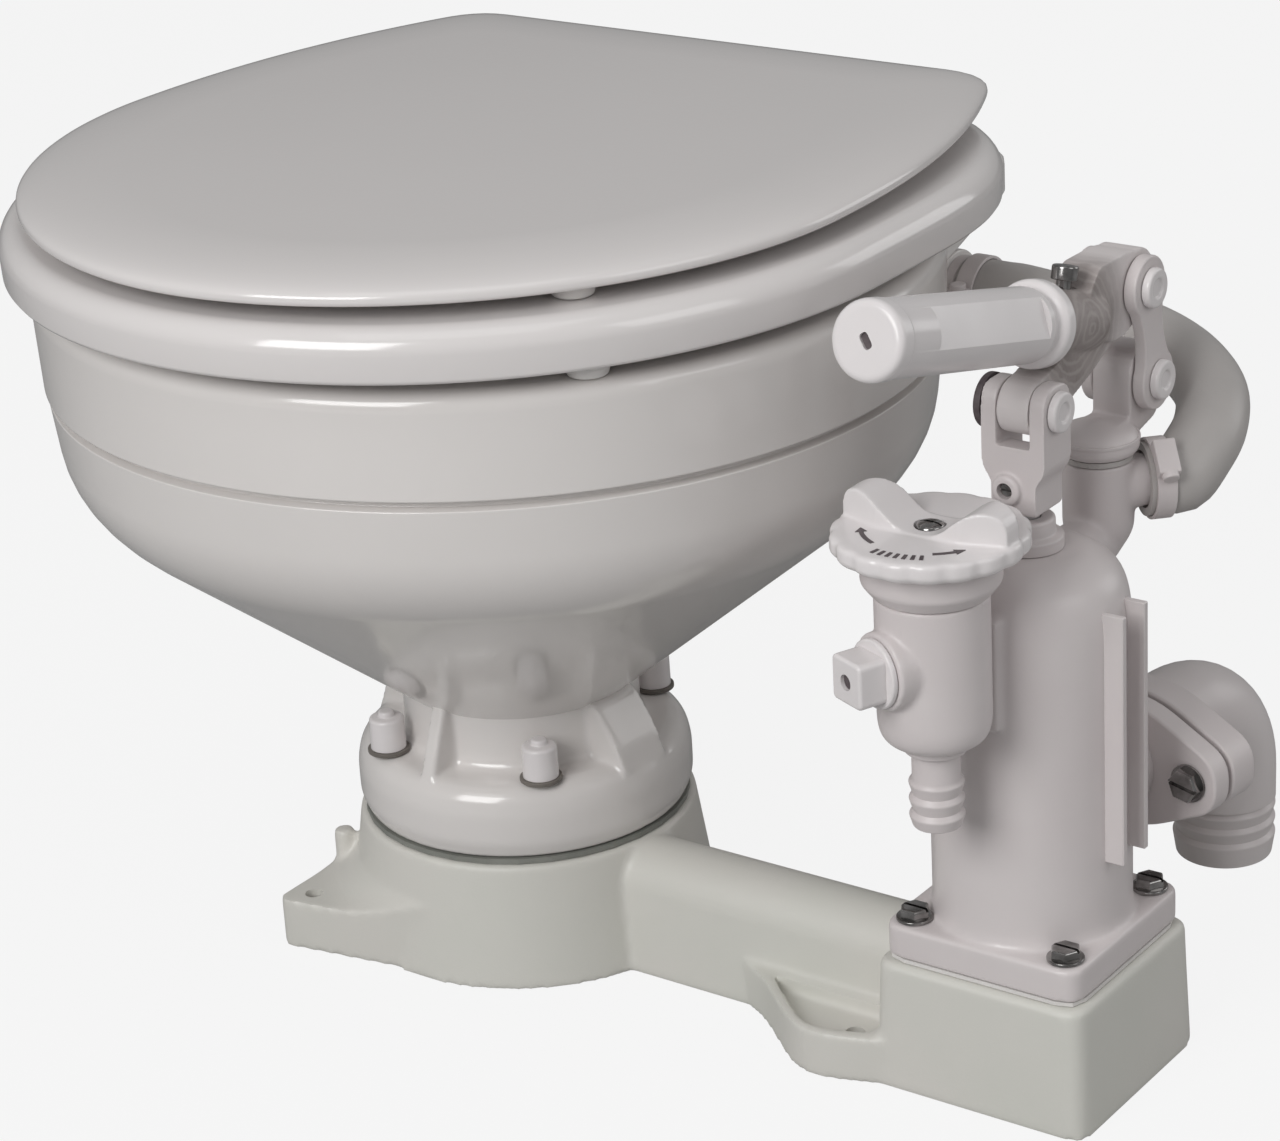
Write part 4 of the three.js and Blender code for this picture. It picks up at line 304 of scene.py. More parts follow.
def blended(bm, grain, softness=6):
    """Overlapping shapes as one skin, with small fillets where they meet."""
    obj = as_object(bm)
    remesh = obj.modifiers.new("skin", "REMESH")
    remesh.mode = "VOXEL"
    remesh.voxel_size = grain
    soften = obj.modifiers.new("soften", "SMOOTH")
    soften.factor = 0.5
    soften.iterations = softness
    return applied(obj)


def carved(bm, *tools, shells=False):
    """A shape with others taken out of it. Shells says that the shape is several that overlap."""
    obj = as_object(bm)
    spare = []
    for tool in tools:
        other = as_object(tool, "tool")
        cut = obj.modifiers.new("cut", "BOOLEAN")
        cut.operation = "DIFFERENCE"
        cut.solver = "EXACT"
        cut.use_self = shells
        cut.object = other
        spare.append(other)
    return applied(obj, *spare)


def finished(bm, name, body, material, *nodes, sharp=38.0):
    """A shape in millimetres as a named piece that rides on a body and stands for CAD nodes."""
    bmesh.ops.scale(bm, vec=(0.001, 0.001, 0.001), verts=bm.verts)
    obj = as_object(bm, name)
    obj.data.shade_smooth()
    obj.data.set_sharp_from_angle(angle=math.radians(sharp))
    flat = obj.modifiers.new("flat faces", "WEIGHTED_NORMAL")
    flat.keep_sharp = True
    obj.data.materials.append(finish(material))
    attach(obj, body)
    if nodes:
        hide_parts(*nodes)
    return obj


def barbed(radius, start, end, pitch=6.0, depth=1.3):
    """A hose tail's barbed outside as (radius, distance) corners."""
    out = []
    d = start
    while d + pitch <= end:
        out += [(radius - depth, d), (radius, d + 0.3 * pitch, 0.5)]
        d += pitch
    return out + [(radius - depth, end, 0.6)]


# ---- Materials ----


def plugged(node, inputs):
    """Links each input that is given as a socket and sets each other one."""
    for name, value in inputs.items():
        if isinstance(value, bpy.types.NodeSocket):
            node.id_data.links.new(value, node.inputs[name])
        else:
            node.inputs[name].default_value = value


def added(tree, kind, inputs=None, out=None, **settings):
    """Adds a shader node and gives back its output of that name, or else the first that is in use."""
    node = tree.nodes.new("ShaderNode" + kind)
    for name, value in settings.items():
        setattr(node, name, value)
    plugged(node, inputs or {})
    return node.outputs[out] if out else next(socket for socket in node.outputs if socket.enabled)


def effect(name, inputs, outputs):
    """An empty shader node group: (its tree, the sockets it is given, its output node)."""
    tree = bpy.data.node_groups.new(name, "ShaderNodeTree")
    for label, kind, value in inputs:
        socket = tree.interface.new_socket(name=label, in_out="INPUT", socket_type="NodeSocket" + kind)
        socket.default_value = value
    for label, kind in outputs:
        tree.interface.new_socket(name=label, in_out="OUTPUT", socket_type="NodeSocket" + kind)
    return tree, tree.nodes.new("NodeGroupInput").outputs, tree.nodes.new("NodeGroupOutput")


def mottled_tone():
    """Two colours mixed by broad patches and fine specks."""
    tree, given, out = effect(
        "mottled tone",
        [
            ("Position", "Vector", (0, 0, 0)),
            ("Colour", "Color", (0.8, 0.8, 0.8, 1)),
            ("Shade", "Color", (0.7, 0.7, 0.7, 1)),
            ("Patch size", "Float", 14.0),
            ("Specks", "Float", 0.15),
        ],
        [("Colour", "Color"), ("Patches", "Float")],
    )
    where = given["Position"]
    patches = added(tree, "TexNoise", {"Vector": where, "Scale": given["Patch size"], "Detail": 3})
    broad = added(tree, "MapRange", {"Value": patches, "From Min": 0.35, "From Max": 0.7})
    specks = added(tree, "TexNoise", {"Vector": where, "Scale": 900, "Detail": 2})
    fine = added(tree, "Math", {0: specks, 1: given["Specks"]}, operation="MULTIPLY")
    total = added(tree, "Math", {0: broad, 1: fine}, operation="ADD", use_clamp=True)
    mixed = added(tree, "Mix", {"Factor": total, "A": given["Colour"], "B": given["Shade"]}, data_type="RGBA")
    plugged(out, {"Colour": mixed, "Patches": total})
    return tree


def moulded_grain():
    """A fine grain over slow ripples, as a height."""
    tree, given, out = effect(
        "moulded grain",
        [
            ("Position", "Vector", (0, 0, 0)),
            ("Grain size", "Float", 1400.0),
            ("Ripple size", "Float", 30.0),
            ("Ripple share", "Float", 0.5),
        ],
        [("Height", "Float")],
    )
    grain, ripple = [
        added(tree, "TexNoise", {"Vector": given["Position"], "Scale": given[size], "Detail": 2})
        for size in ("Grain size", "Ripple size")
    ]
    plugged(out, {"Height": added(tree, "Mix", {"Factor": given["Ripple share"], "A": grain, "B": ripple})})
    return tree


def turning_marks():
    """Wavy rings about the X axis, as a mask."""
    tree, given, out = effect(
        "turning marks", [("Position", "Vector", (0, 0, 0)), ("Spacing", "Float", 300.0)], [("Mask", "Float")]
    )
    waves = {"Vector": given["Position"], "Scale": given["Spacing"], "Distortion": 6, "Detail": 2}
    plugged(out, {"Mask": added(tree, "TexWave", waves, "Fac", wave_type="RINGS", rings_direction="X")})
    return tree


def shared(maker):
    """The node group that a function makes. It is made once, and named like the function."""
    return bpy.data.node_groups.get(maker.__name__.replace("_", " ")) or maker()


def mottled(name, colour, shade, roughness, patch=14.0, specks=0.15, grain=1400.0, ripple=30.0,
            ripple_share=0.5, bump=0.08, depth=0.0002, spread=0.08, coat=0.0, metallic=0.0, centre=(0, 0, 0)):
    """A Principled material with a mottled tone, a grained surface and a gloss that varies over it."""
    material = bpy.data.materials.new(name)
    material.use_nodes = True
    tree = material.node_tree
    where = added(tree, "TexCoord", out="Object")
    place = added(tree, "Mapping", {"Vector": where, "Location": centre})
    tone = added(tree, "Group", {
        "Position": place, "Colour": (*colour, 1), "Shade": (*shade, 1), "Patch size": patch,
        "Specks": specks,
    }, node_tree=shared(mottled_tone))
    gloss = added(tree, "MapRange", {
        "Value": tone.node.outputs["Patches"], "To Min": max(roughness - spread, 0.02),
        "To Max": roughness + spread,
    })
    skin = added(tree, "Group", {
        "Position": place, "Grain size": grain, "Ripple size": ripple, "Ripple share": ripple_share,
    }, node_tree=shared(moulded_grain))
    raised = added(tree, "Bump", {"Height": skin, "Strength": bump, "Distance": depth})
    plugged(tree.nodes["Principled BSDF"], {
        "Base Color": tone, "Roughness": gloss, "Normal": raised, "Metallic": metallic, "Coat Weight": coat,
        "Coat Roughness": 0.06,
    })
    return material


# A finish's colour, or its name in the panel; its shade, or the shade's share of that colour; its
# roughness; and what else differs from the usual.
FINISHES = {
    "china glaze": ("china", (0.955, 0.955, 0.955), 0.17, dict(
        patch=7, specks=0.03, grain=260, ripple=22, ripple_share=0.75, bump=0.1, depth=0.0006, spread=0.03,
        coat=0.3)),
    "baked enamel": ("enamel", (0.97, 0.97, 0.97), 0.16, dict(
        patch=5, specks=0.02, grain=420, ripple=16, ripple_share=0.6, bump=0.09, depth=0.0005, spread=0.03,
        coat=0.35)),
    "base casting": ("base", (0.93, 0.955, 0.94), 0.42, dict(
        patch=11, specks=0.2, grain=1100, ripple=45, ripple_share=0.35, bump=0.22, depth=0.0003)),
    "pump moulding": ("moulding", (0.93, 0.915, 0.92), 0.36, dict(
        patch=16, specks=0.16, grain=1500, ripple=60, ripple_share=0.4, bump=0.16, depth=0.00025)),
    "bright moulding": ("bright", (0.95, 0.95, 0.95), 0.22, dict(
        patch=24, grain=1700, specks=0.08, ripple=70, ripple_share=0.6, spread=0.05)),
    "grey hose": ("hose", (0.88, 0.88, 0.88), 0.4, dict(
        patch=26, specks=0.2, grain=1200, ripple=130, ripple_share=0.4, bump=0.2, depth=0.0003)),
    "white buffer": ((0.78, 0.76, 0.74), (0.7, 0.68, 0.66), 0.6, dict(patch=60, grain=2200, bump=0.2)),
    "black seal": ((0.03, 0.03, 0.032), (0.05, 0.05, 0.048), 0.62, dict(patch=60, grain=2200, bump=0.25)),
    "grey seal": ((0.26, 0.265, 0.24), (0.2, 0.205, 0.185), 0.55, dict(patch=60, grain=2200, bump=0.2)),
    "brown washer": ((0.2, 0.18, 0.16), (0.15, 0.135, 0.12), 0.5, dict(patch=120, specks=0.4, bump=0.15)),
    "stainless": ((0.55, 0.54, 0.53), (0.45, 0.44, 0.43), 0.28, dict(
        patch=80, grain=2600, bump=0.1, metallic=1.0)),
    "dark chrome": ((0.42, 0.41, 0.405), (0.17, 0.165, 0.16), 0.17, dict(
        patch=160, grain=2600, bump=0.12, metallic=1.0)),
    # Near-black: the knob's printed marks, and also painted shade in the plug's hole and the grip's slot, and a
    # painted shadow beside the clevis pin.
    "dial ink": ((0.055, 0.04, 0.045), (0.11, 0.09, 0.095), 0.5, dict(patch=300, specks=0.6, bump=0.1)),
    # The lever's hub: brown with grey-brown swirls at the socket, and painted light on its head.
    "worn hub": ((0.22, 0.19, 0.18), (0.36, 0.32, 0.31), 0.5, dict(
        patch=90, specks=0.5, grain=900, ripple=120, bump=0.35, depth=0.0004, centre=(-0.23, -0.016, -0.27))),
}


def finish(name):
    """The material of that name, built the first time it is asked for."""
    found = bpy.data.materials.get(name)
    if found:
        return found
    colour, shade, roughness, rest = FINISHES[name]
    if isinstance(colour, str):
        colour = getattr(bpy.context.scene.toilet_looks, colour)
        shade = [v * k for v, k in zip(colour, shade)]
    material = mottled(name, colour, shade, roughness, **rest)
    if name == "worn hub":
        wear(material)
    return material


def wear(material):
    """Adds grey-brown swirls near the lever's socket, and paints the rest in the pump's pale moulding colour as
    painted light for the lit top face of the lever's head.
    """
    tree = material.node_tree
    shader, place = tree.nodes["Principled BSDF"], tree.nodes["Mapping"].outputs["Vector"]
    marks = added(tree, "Group", {"Position": place, "Spacing": 90}, node_tree=shared(turning_marks))
    swirl = added(tree, "MapRange", {"Value": marks, "From Min": 0.5, "To Max": 0.32})
    rubbed = added(tree, "Mix", {
        "Factor": swirl, "A": shader.inputs["Base Color"].links[0].from_socket, "B": (0.52, 0.48, 0.46, 1),
    }, data_type="RGBA")
    reach = added(tree, "VectorMath", {0: place}, operation="LENGTH")
    # Beyond about 32 mm from the centre, over the head, the colour turns to the pale moulding: painted light for
    # the head's lit top face.
    far = added(tree, "MapRange", {"Value": reach, "From Min": 0.02, "From Max": 0.032})
    pale = (*bpy.context.scene.toilet_looks.moulding, 1)
    worn_and_lit = added(tree, "Mix", {"Factor": far, "A": rubbed, "B": pale}, data_type="RGBA")
    plugged(shader, {"Base Color": worn_and_lit})


# ---- What a user would change ----

def colour(name, what, default):
    return bpy.props.FloatVectorProperty(
        name=name, description=f"Colour of {what}", subtype="COLOR", size=3, min=0, max=1, default=default)


def angle(name, what, degrees):
    return bpy.props.FloatProperty(
        name=name, description=what, subtype="ANGLE", default=math.radians(degrees))


def strength(name, what, default):
    return bpy.props.FloatProperty(name=name, description=what, default=default, min=0)


class ToiletLooks(bpy.types.PropertyGroup):
    """Colours of the toilet's finishes."""

    china: colour("China", "the bowl's glaze", (0.76, 0.73, 0.71))
    enamel: colour("Enamel", "the seat and the lid", (0.74, 0.71, 0.7))
    base: colour("Base", "the base", (0.715, 0.692, 0.65))
    moulding: colour("Pump", "the pump's mouldings", (0.7, 0.655, 0.65))
    bright: colour("Caps and knob", "the knob, the caps and the pins", (0.8, 0.765, 0.765))
    hose: colour("Hose", "the bowl hose", (0.5, 0.475, 0.46))


class ToiletStage(bpy.types.PropertyGroup):
    """The camera and the lamps."""

    azimuth: angle("Azimuth", "Way round from the front", 36.66)
    elevation: angle("Elevation", "Height of the view", 22.57)
    roll: angle("Roll", "Tilt of the camera", -3.33)
    place: bpy.props.FloatVectorProperty(
        name="Place", description="Where the camera stands", subtype="TRANSLATION", unit="LENGTH", size=3,
        default=(0.8122, -1.0105, 0.6763))
    lens: bpy.props.FloatProperty(
        name="Lens", description="Focal length on a 36 mm sensor", default=103.957, min=10, max=300)
    key: strength("Key lamp", "Power of the main lamp, in front", 27.0)
    fill: strength("Fill lamp", "Power of the lamp overhead", 3.6)
    side: strength("Side lamp", "Power of the lamp at the right", 5.0)
    back: strength("Back lamp", "Power of the lamp behind, at the right", 5.0)
    sky: strength("Sky", "Strength of the light all round", 0.28)


# ---- Pieces ----

class Piece(bpy.types.Operator):
    """Base of the toilet's operators."""

    bl_options = {"REGISTER", "UNDO"}

    def execute(self, context):
        self.make(context)
        return {"FINISHED"}


class TOILET_OT_base(Piece):
    """The moulded base: ring, waterway, block, lugs and lobes in one skin, with four fixing holes."""

    bl_idname = "toilet.base"
    bl_label = "Base"

    def make(self, context):
        ring = turned([(0, 0), (72, 0), (65, 48, 1.5), (0, 48)])
        arch = [(-19, 0), *[polar(16, a, y=31.8) for a in range(180, -1, -6)], (19, 0)]
        pipe = slab([(PUMP.y + y, z) for y, z in arch], 0, 195, "x")
        block = drafted(42.6, 41, 8, 0, BLOCK_H, 1.6)
        sides = [self.lobe(s) for s in (1, -1)] + [self.lug(s) for s in (1, -1)]
        skin = blended(together(ring, pipe, moved(block, PUMP), *sides), 1.25, 5)
        spots = [(PUMP.x - 54.6, PUMP.y - s * 33) for s in (1, -1)] + [(-55, s * 68) for s in (1, -1)]
        holes = [rod((x, y, -1), (x, y, 40), FLOOR_HOLE_R) for x, y in spots]
        finished(carved(skin, *holes), "base_casting", "root", "base casting", "base")

    def lobe(self, side):
        """A fixing lobe beside the block, with a shallow pocket."""
        start, tip = -112.6, -49.0
        outline = [
            (start, 0), (start, -18), (start + 12, -24, 8), (start + 42, tip, 14), (start + 56, tip, 8),
            (-33, -41), (-33, 0),
        ]
        pocket = [
            (start + 15, -21, 1), (start + 42, tip + 4.5, 10), (start + 54, tip + 4.5, 5), (-44.6, -38.7, 3),
            (-44.6, -21, 2),
        ]
        spots = [[(PUMP.x + x, PUMP.y + side * y, *c) for x, y, *c in shape] for shape in (outline, pocket)]
        return carved(slab(spots[0], 0, 18), slab(spots[1], 12, 19))

    def lug(self, side):
        """A corner lug that sweeps up into the ring, with its peg."""
        outline = [(-66, side * 30), (-66, side * 79, 8), (14, side * 66), (14, side * 30)]
        sweep = turned([(76, 20, 9), (150, 20), (150, 60), (65, 60), (65, 32)])
        peg = turned([(0, 0), (4, 0), (4, 34, 1.5), (0, 34)], (-62, side * 39.5, 0), around=32)
        return together(carved(slab(outline, 0, 32), sweep), peg)


def drafted(foot, top, corner, low, high, edge=1.2):
    """A square block whose sides lean in, with a small round at its top."""
    def ring(half, z):
        square = [(half, -half, corner), (half, half, corner), (-half, half, corner), (-half, -half, corner)]
        return [(x, y, z) for x, y in rounded(square, points=8)]
    return stacked([
        ring(foot, low), ring(top, high - edge), ring(top - 0.35 * edge, high - 0.3 * edge),
        ring(top - edge, high),
    ])


class TOILET_OT_bowl(Piece):
    """The china bowl: its ribbed foot, its turned body, its deck and its rinse inlet."""

    bl_idname = "toilet.bowl"
    bl_label = "Bowl"

    def make(self, context):
        # Up the outside past the groove and the rim band, over the rim, and down inside its channel.
        body = turned([
            (37, 90), (44.5, 90), (44.5, 99), (46.3, 100.5, 9), (160.8, 194.6, 20), (164.8, 230.6, 0.5),
            (161, 231.3, 0.4), (161, 233.6, 0.4), (165.9, 234.4, 0.8), (167.4, 272.5, 7),
            (140, 272.5, 3), (140, 250.5, 1), (148, 250.5, 1), (148, 262.5), (156.2, 262.5, 2), (156, 233),
            (149, 200, 15), (37, 107.5, 9),
        ], around=192)
        deck = carved(
            slab([(150, 62), (115, 185, 24), (-115, 185, 24), (-150, 62)], 258, 272.44, "z", 2.2),
            rod((0, 0, 240), (0, 0, 290), 157, around=192),
        )
        start = math.sqrt(157.9 ** 2 - INLET_Y ** 2) - 6
        out = 121 - start
        boss = turned([(0, 0), (15, 0), (15, out, 1), (7, out), (7, out - 8), (0, out - 8)],
                      (start, INLET_Y, INLET_Z), X_WAY)
        finished(together(body, deck, boss), "china_bowl", "root", "china glaze", "bowl")
        foot = turned([
            (37, BOWL_Z), (62, BOWL_Z), (64.5, 56.6, 2), (64.5, 68.2, 2), (63, 75, 3), (58.5, FOOT_TOP, 3),
            (46.5, FOOT_TOP, 4), (45.5, 85, 4), (45.5, 108), (37, 108),
        ], around=144)
        thin, wide = (6, 61, 30), (24, 62, 22)
        ribs = [self.rib(-90, *thin), self.rib(-5, *wide), self.rib(90, *thin), self.rib(180, *wide)]
        finished(blended(together(foot, *ribs), 1.0, 8), "china_foot", "root", "china glaze", "bowl")

    def rib(self, angle, width, reach, height):
        """An upright web between the foot's flange and its neck."""
        profile = [
            (41.5, 76), (reach, 76), (reach - 3, 85, 2), (48.5, FOOT_TOP + height, 4),
            (41.5, FOOT_TOP + height + 3),
        ]
        return moved(slab(profile, -width / 2, width / 2, "y"), turn=angle)


def seat_outline(half, front, mid, back, back_half, squareness, side_power, corner, count):
    """The whole outline of a seat or lid, from the back's middle round the right side and the front."""
    def side(y):
        return half - (half - back_half) * ((y - mid) / (back - mid)) ** side_power
    right = [(0, back), (back_half - corner, back)]
    ends = Vector(right[1]), Vector((back_half, back)), Vector((side(back - corner), back - corner))
    right += [tuple(bent(*ends, k / 8)) for k in range(1, 9)]
    for k in range(31, 0, -1):
        y = mid + k / 32 * (back - corner - mid)
        right.append((side(y), y))
    for k in range(73):
        t = math.pi / 2 * k / 72
        c, s = max(math.cos(t), 0.0), math.sin(t)
        right.append((half * c ** (2 / squareness), mid - front * s ** (2 / squareness)))
    spaced = [tuple(p) for p in along_line(right, [2 * i / count for i in range(count // 2 + 1)])]
    return spaced + [(-x, y) for x, y in spaced[-2:0:-1]]


def drawn_in(outline, distance, z):
    """The outline moved inward at each point and set at a height."""
    count = len(outline)
    out = []
    for i, (x, y) in enumerate(outline):
        a, b = Vector(outline[i - 1]), Vector(outline[(i + 1) % count])
        along = (b - a).normalized()
        out.append((x + along.y * distance, y - along.x * distance, z))
    return out


def rounds(outline, across, up, height):
    """Rings over a quarter round: from the outline itself, inward by across, and up to a height."""
    spots = [(1 - math.cos(math.radians(a)), 1 - math.sin(math.radians(a))) for a in range(0, 91, 10)]
    return [drawn_in(outline, across * d, height - up * h) for d, h in spots]


def shrunk(ring, share, mid, z):
    """The ring drawn to a share of its size about (0, mid), at a height."""
    return [(p[0] * share, mid + (p[1] - mid) * share, z) for p in ring]


class TOILET_OT_seat(Piece):
    """The seat ring, with its bumpers."""

    bl_idname = "toilet.seat"
    bl_label = "Seat"

    def make(self, context):
        count = 224
        outline = seat_outline(
            half=170.5, front=175.7, mid=-4, back=150, back_half=108, squareness=2, side_power=4.2, corner=16,
            count=count,
        )
        hole = [
            (105 * math.cos(t), -20 + 130 * math.sin(t))
            for t in (math.pi / 2 - 2 * math.pi * i / count for i in range(count))
        ]
        top, edge = SEAT_Z + 19, 8.5
        rings = [drawn_in(outline, d, SEAT_Z + h) for d, h in ((3, 0), (1.4, 0.6), (0.4, 2))]
        rings += [*rounds(outline, edge, edge, top), drawn_in(outline, 14, top), drawn_in(hole, -14, top)]
        rings += reversed(rounds(hole, -edge, edge, top))
        rings += [drawn_in(hole, -0.4, SEAT_Z + 2), drawn_in(hole, -2, SEAT_Z), rings[0]]
        finished(stacked(rings, caps=False), "seat_ring", "seat", "baked enamel", "seat")
        for i, a in enumerate((-40.6, -139.4, 36.6, 143.4)):
            at = (*polar(BUMPER_CIRCLE_R, a), RIM_Z + 0.3)
            finished(bumper(5.9, at), f"seat_buffer_{i + 1}", "seat", "white buffer", f"seat_bumper_{i + 1}")


def bumper(height, at):
    """A round buffer that stands on a point, narrower at its foot."""
    return turned([(0, 0), (7, 0, 1.2), (8, height - 1, 0.6), (8, height), (0, height)], at, around=40)


class TOILET_OT_lid(Piece):
    """The lid, with its bumpers."""

    bl_idname = "toilet.lid"
    bl_label = "Lid"

    def make(self, context):
        mid = -12
        outline = seat_outline(
            half=160.5, front=163.5, mid=mid, back=156, back_half=121, squareness=1.91, side_power=2.2, corner=14,
            count=224,
        )
        under, side, roll, height, reach = 1.8, 2.6, 40.0, 9.6, 161
        rings = rounds(outline, under, -under, LID_Z)[::-1]
        for a in (math.radians(d) for d in range(0, 91, 6)):
            rise = (height - side) * math.sin(a) ** 0.92
            rings.append(shrunk(outline, 1 - roll / reach * (1 - math.cos(a)), mid, LID_Z + side + rise))
        rings += [shrunk(outline, share, mid, LID_Z + height) for share in (0.6, 0.42, 0.25, 0.08)]
        finished(stacked(rings), "lid_panel", "lid", "baked enamel", "lid")
        for i, x in enumerate((114, -114)):
            buffer = bumper(5.4, (x, -100, SEAT_Z + 19.3))
            finished(buffer, f"lid_buffer_{i + 1}", "lid", "white buffer", f"lid_bumper_{i + 1}")


class TOILET_OT_hinges(Piece):
    """The two hinges: a post on the deck, and a leaf each for the seat and the lid."""

    bl_idname = "toilet.hinges"
    bl_label = "Hinges"

    def make(self, context):
        for side, name in ((1, "right"), (-1, "left")):
            post = self.post(70.0 * side)
            finished(post, f"post_{name}", "root", "bright moulding", f"hinge_post_{name}")
            leaf = self.leaf(58.7 * side, SEAT_Z, 150)
            finished(leaf, f"seat_strap_{name}", "seat", "bright moulding", f"seat_leaf_{name}")
            leaf = self.leaf(81.3 * side, LID_Z, 156)
            finished(leaf, f"lid_strap_{name}", "lid", "bright moulding", f"lid_leaf_{name}")

    def post(self, x):
        """The post with its foot, its eye, its stud, the pin and the nut."""
        low, foot, eye = RIM_Z + 0.3, (x, HINGE_Y, 0), (x, HINGE_Y, HINGE_Z)
        shank = [(-7.3, low), (7.3, low), (6.5, HINGE_Z), (-6.5, HINGE_Z)]
        return together(
            turned([(0, low), (12, low), (12, low + 3, 1), (0, low + 3)], foot, around=64),
            slab([(HINGE_Y + y, z) for y, z in shank], x - 5.5, x + 5.5, "x", 0.5),
            turned([(0, -5.5), (6.5, -5.5, 0.8), (6.5, 5.5, 0.8), (0, 5.5)], eye, X_WAY, 64),
            rod((x, HINGE_Y, 247), (x, HINGE_Y, 273), 3),
            turned([(0, -18.1), (3, -18.1, 0.8), (3, 18.1, 0.8), (0, 18.1)], eye, X_WAY, 40),
            turned([(0, 249.7), (9, 249.7, 1.5), (9.6, 257.7), (0, 257.7)], foot, around=6),
        )

    def leaf(self, x, panel, back):
        """A strap under the panel, and a web from it up to the pin's knuckle."""
        top, eye = panel - 0.3, (x, HINGE_Y, HINGE_Z)
        start, end = Vector((back + 1.5, top - 1.3)), Vector(eye[1:])
        across = (end - start).normalized()
        across = Vector((-across.y, across.x)) * 1.3
        web = [tuple(start + across), tuple(start - across), tuple(end - across), tuple(end + across)]
        web = slab(web, x - 5.5, x + 5.5, "x", 0.3)
        knuckle = turned([(3.3, -5.5), (6.5, -5.5, 0.8), (6.5, 5.5, 0.8), (3.3, 5.5)], eye, X_WAY, 64)
        left, right, near, far = x - 5.5, x + 5.5, back - 44.5, back + 1.5
        strap = slab([(left, near, 4), (right, near, 4), (right, far), (left, far)], top - 2.6, top, "z", 0.4)
        hole = rod((x - 9, HINGE_Y, HINGE_Z), (x + 9, HINGE_Y, HINGE_Z), 3.3)
        return together(strap, carved(web, hole), knuckle)


class TOILET_OT_bowl_bolts(Piece):
    """The capped nuts that hold the bowl down."""

    bl_idname = "toilet.bowl_bolts"
    bl_label = "Bowl bolts"

    def make(self, context):
        for i, angle in enumerate(BOLT_ANGLES):
            at = (*polar(BOLT_CIRCLE_R, angle), FOOT_TOP)
            cap = turned([
                (0, 2), (6.8, 2), (6.6, 14.4, 1.4), (3.2, 14.8, 0.4), (2.9, 16.9, 0.9), (0, 16.9),
            ], at, around=56)
            washer = turned([(3.5, 0.3), (8, 0.3, 0.3), (8, 1.9, 0.4), (3.5, 1.9)], at, around=48)
            stud = rod((at[0], at[1], 26), (at[0], at[1], FOOT_TOP + 3), 3.3)
            node = f"bowl_bolt_{i + 1}"
            finished(together(cap, stud), f"bowl_capnut_{i + 1}", "root", "bright moulding", node)
            finished(washer, f"bolt_washer_{i + 1}", "root", "brown washer", node)


def on_port(d, side=0.0, up=0.0):
    """A point along the discharge port, from the pump's axis."""
    c, s = math.cos(math.radians(PORT_TURN)), math.sin(math.radians(PORT_TURN))
    return Vector((PUMP.x + s * d + c * side, PUMP.y + c * d - s * side, PORT_Z + up))


PORT_WAY = Vector((math.sin(math.radians(PORT_TURN)), math.cos(math.radians(PORT_TURN)), 0))


def port_flange(start, end):
    """A lozenge flange across the port, with an ear for a bolt at each side."""
    quarter = [(46, -9, 8), (14.4, -24, 10)]
    lower = quarter + [(-x, z, c) for x, z, c in reversed(quarter)]
    outline = lower + [(x, -z, c) for x, z, c in reversed(lower)]
    flange = slab([(x, PORT_Z + z, c) for x, z, c in outline], start, end, "y", 1.2)
    return moved(flange, PUMP, -PORT_TURN)


class TOILET_OT_pump_body(Piece):
    """The pump's barrel with its plate, dome, rails, riser, spigot and port."""

    bl_idname = "toilet.pump_body"
    bl_label = "Pump body"

    def make(self, context):
        plate = drafted(38.6, 38.6, 8, PLATE_Z, PLATE_TOP, 1.2)
        shell = turned([
            (0, PLATE_Z + 1), (35.6, PLATE_Z + 1), (35.6, 64.2), (35, 67, 2), (35, 188.5, 17), (22, 198.4, 6),
            (13, DOME_Z, 1), (0, DOME_Z),
        ])
        pad = slab([(-15, -37, 1), (9, -37, 1), (9, -25), (-15, -25)], 146, 186, "z", 0.8)
        riser = turned(
            [(0, 176), (5.5, 176, 2), (12.5, 188, 4), (12.5, RISER_Z, 0.8), (0, RISER_Z)], (0, RISER_Y, 0)
        )
        throat = rod((0, 0, 185), (0, RISER_Y, 185), 11, 9.5)
        way = Vector((math.sqrt(0.5), math.sqrt(0.5), 0))
        spigot = turned(
            [(0, 0), (SPIGOT_R, 0), (SPIGOT_R, 15.5), *barbed(SPIGOT_R, 15.5, 26), (0, 26)],
            (0, RISER_Y, OUTLET_Z), way, 64,
        )
        shapes = moved(together(plate, shell, pad, riser, throat, spigot), PUMP)
        port = rod(on_port(0), on_port(45.2), 20, around=64)
        skin = blended(together(shapes, port), 0.95, 6)
        rail = [(29, 91.5), (41, 91.5, 0.6), (41, 183.5, 0.6), (33, 183.5), (29, 171.5)]
        rails = [moved(slab(rail, y, y + 2.6, "y", 0.5), PUMP) for y in (6.2, -8.8)]
        bores = [
            rod(on_port(20), on_port(70), PORT_BORE_R),
            rod(PUMP + Vector((0, RISER_Y, 200)), PUMP + Vector((0, RISER_Y, 220)), 8.5),
        ]
        flange = carved(port_flange(44.2, PORT_FACE), rod(on_port(30), on_port(70), PORT_BORE_R))
        barrel = together(carved(skin, *bores), flange, *rails)
        finished(barrel, "pump_barrel", "root", "pump moulding", "pump_body")


PLATE_CORNERS = ((30, 30), (30, -30), (-30, 30), (-30, -30))


def slotted_head(bm, at, way, width=1.3, length=12.0, depth=1.2):
    """Cuts a driver's slot across a screw's head."""
    bar = bmesh.new()
    bmesh.ops.create_cube(bar, size=1, matrix=Matrix.Diagonal((length, width, depth * 2, 1)))
    return carved(bm, placed(bar, at, way), shells=True)


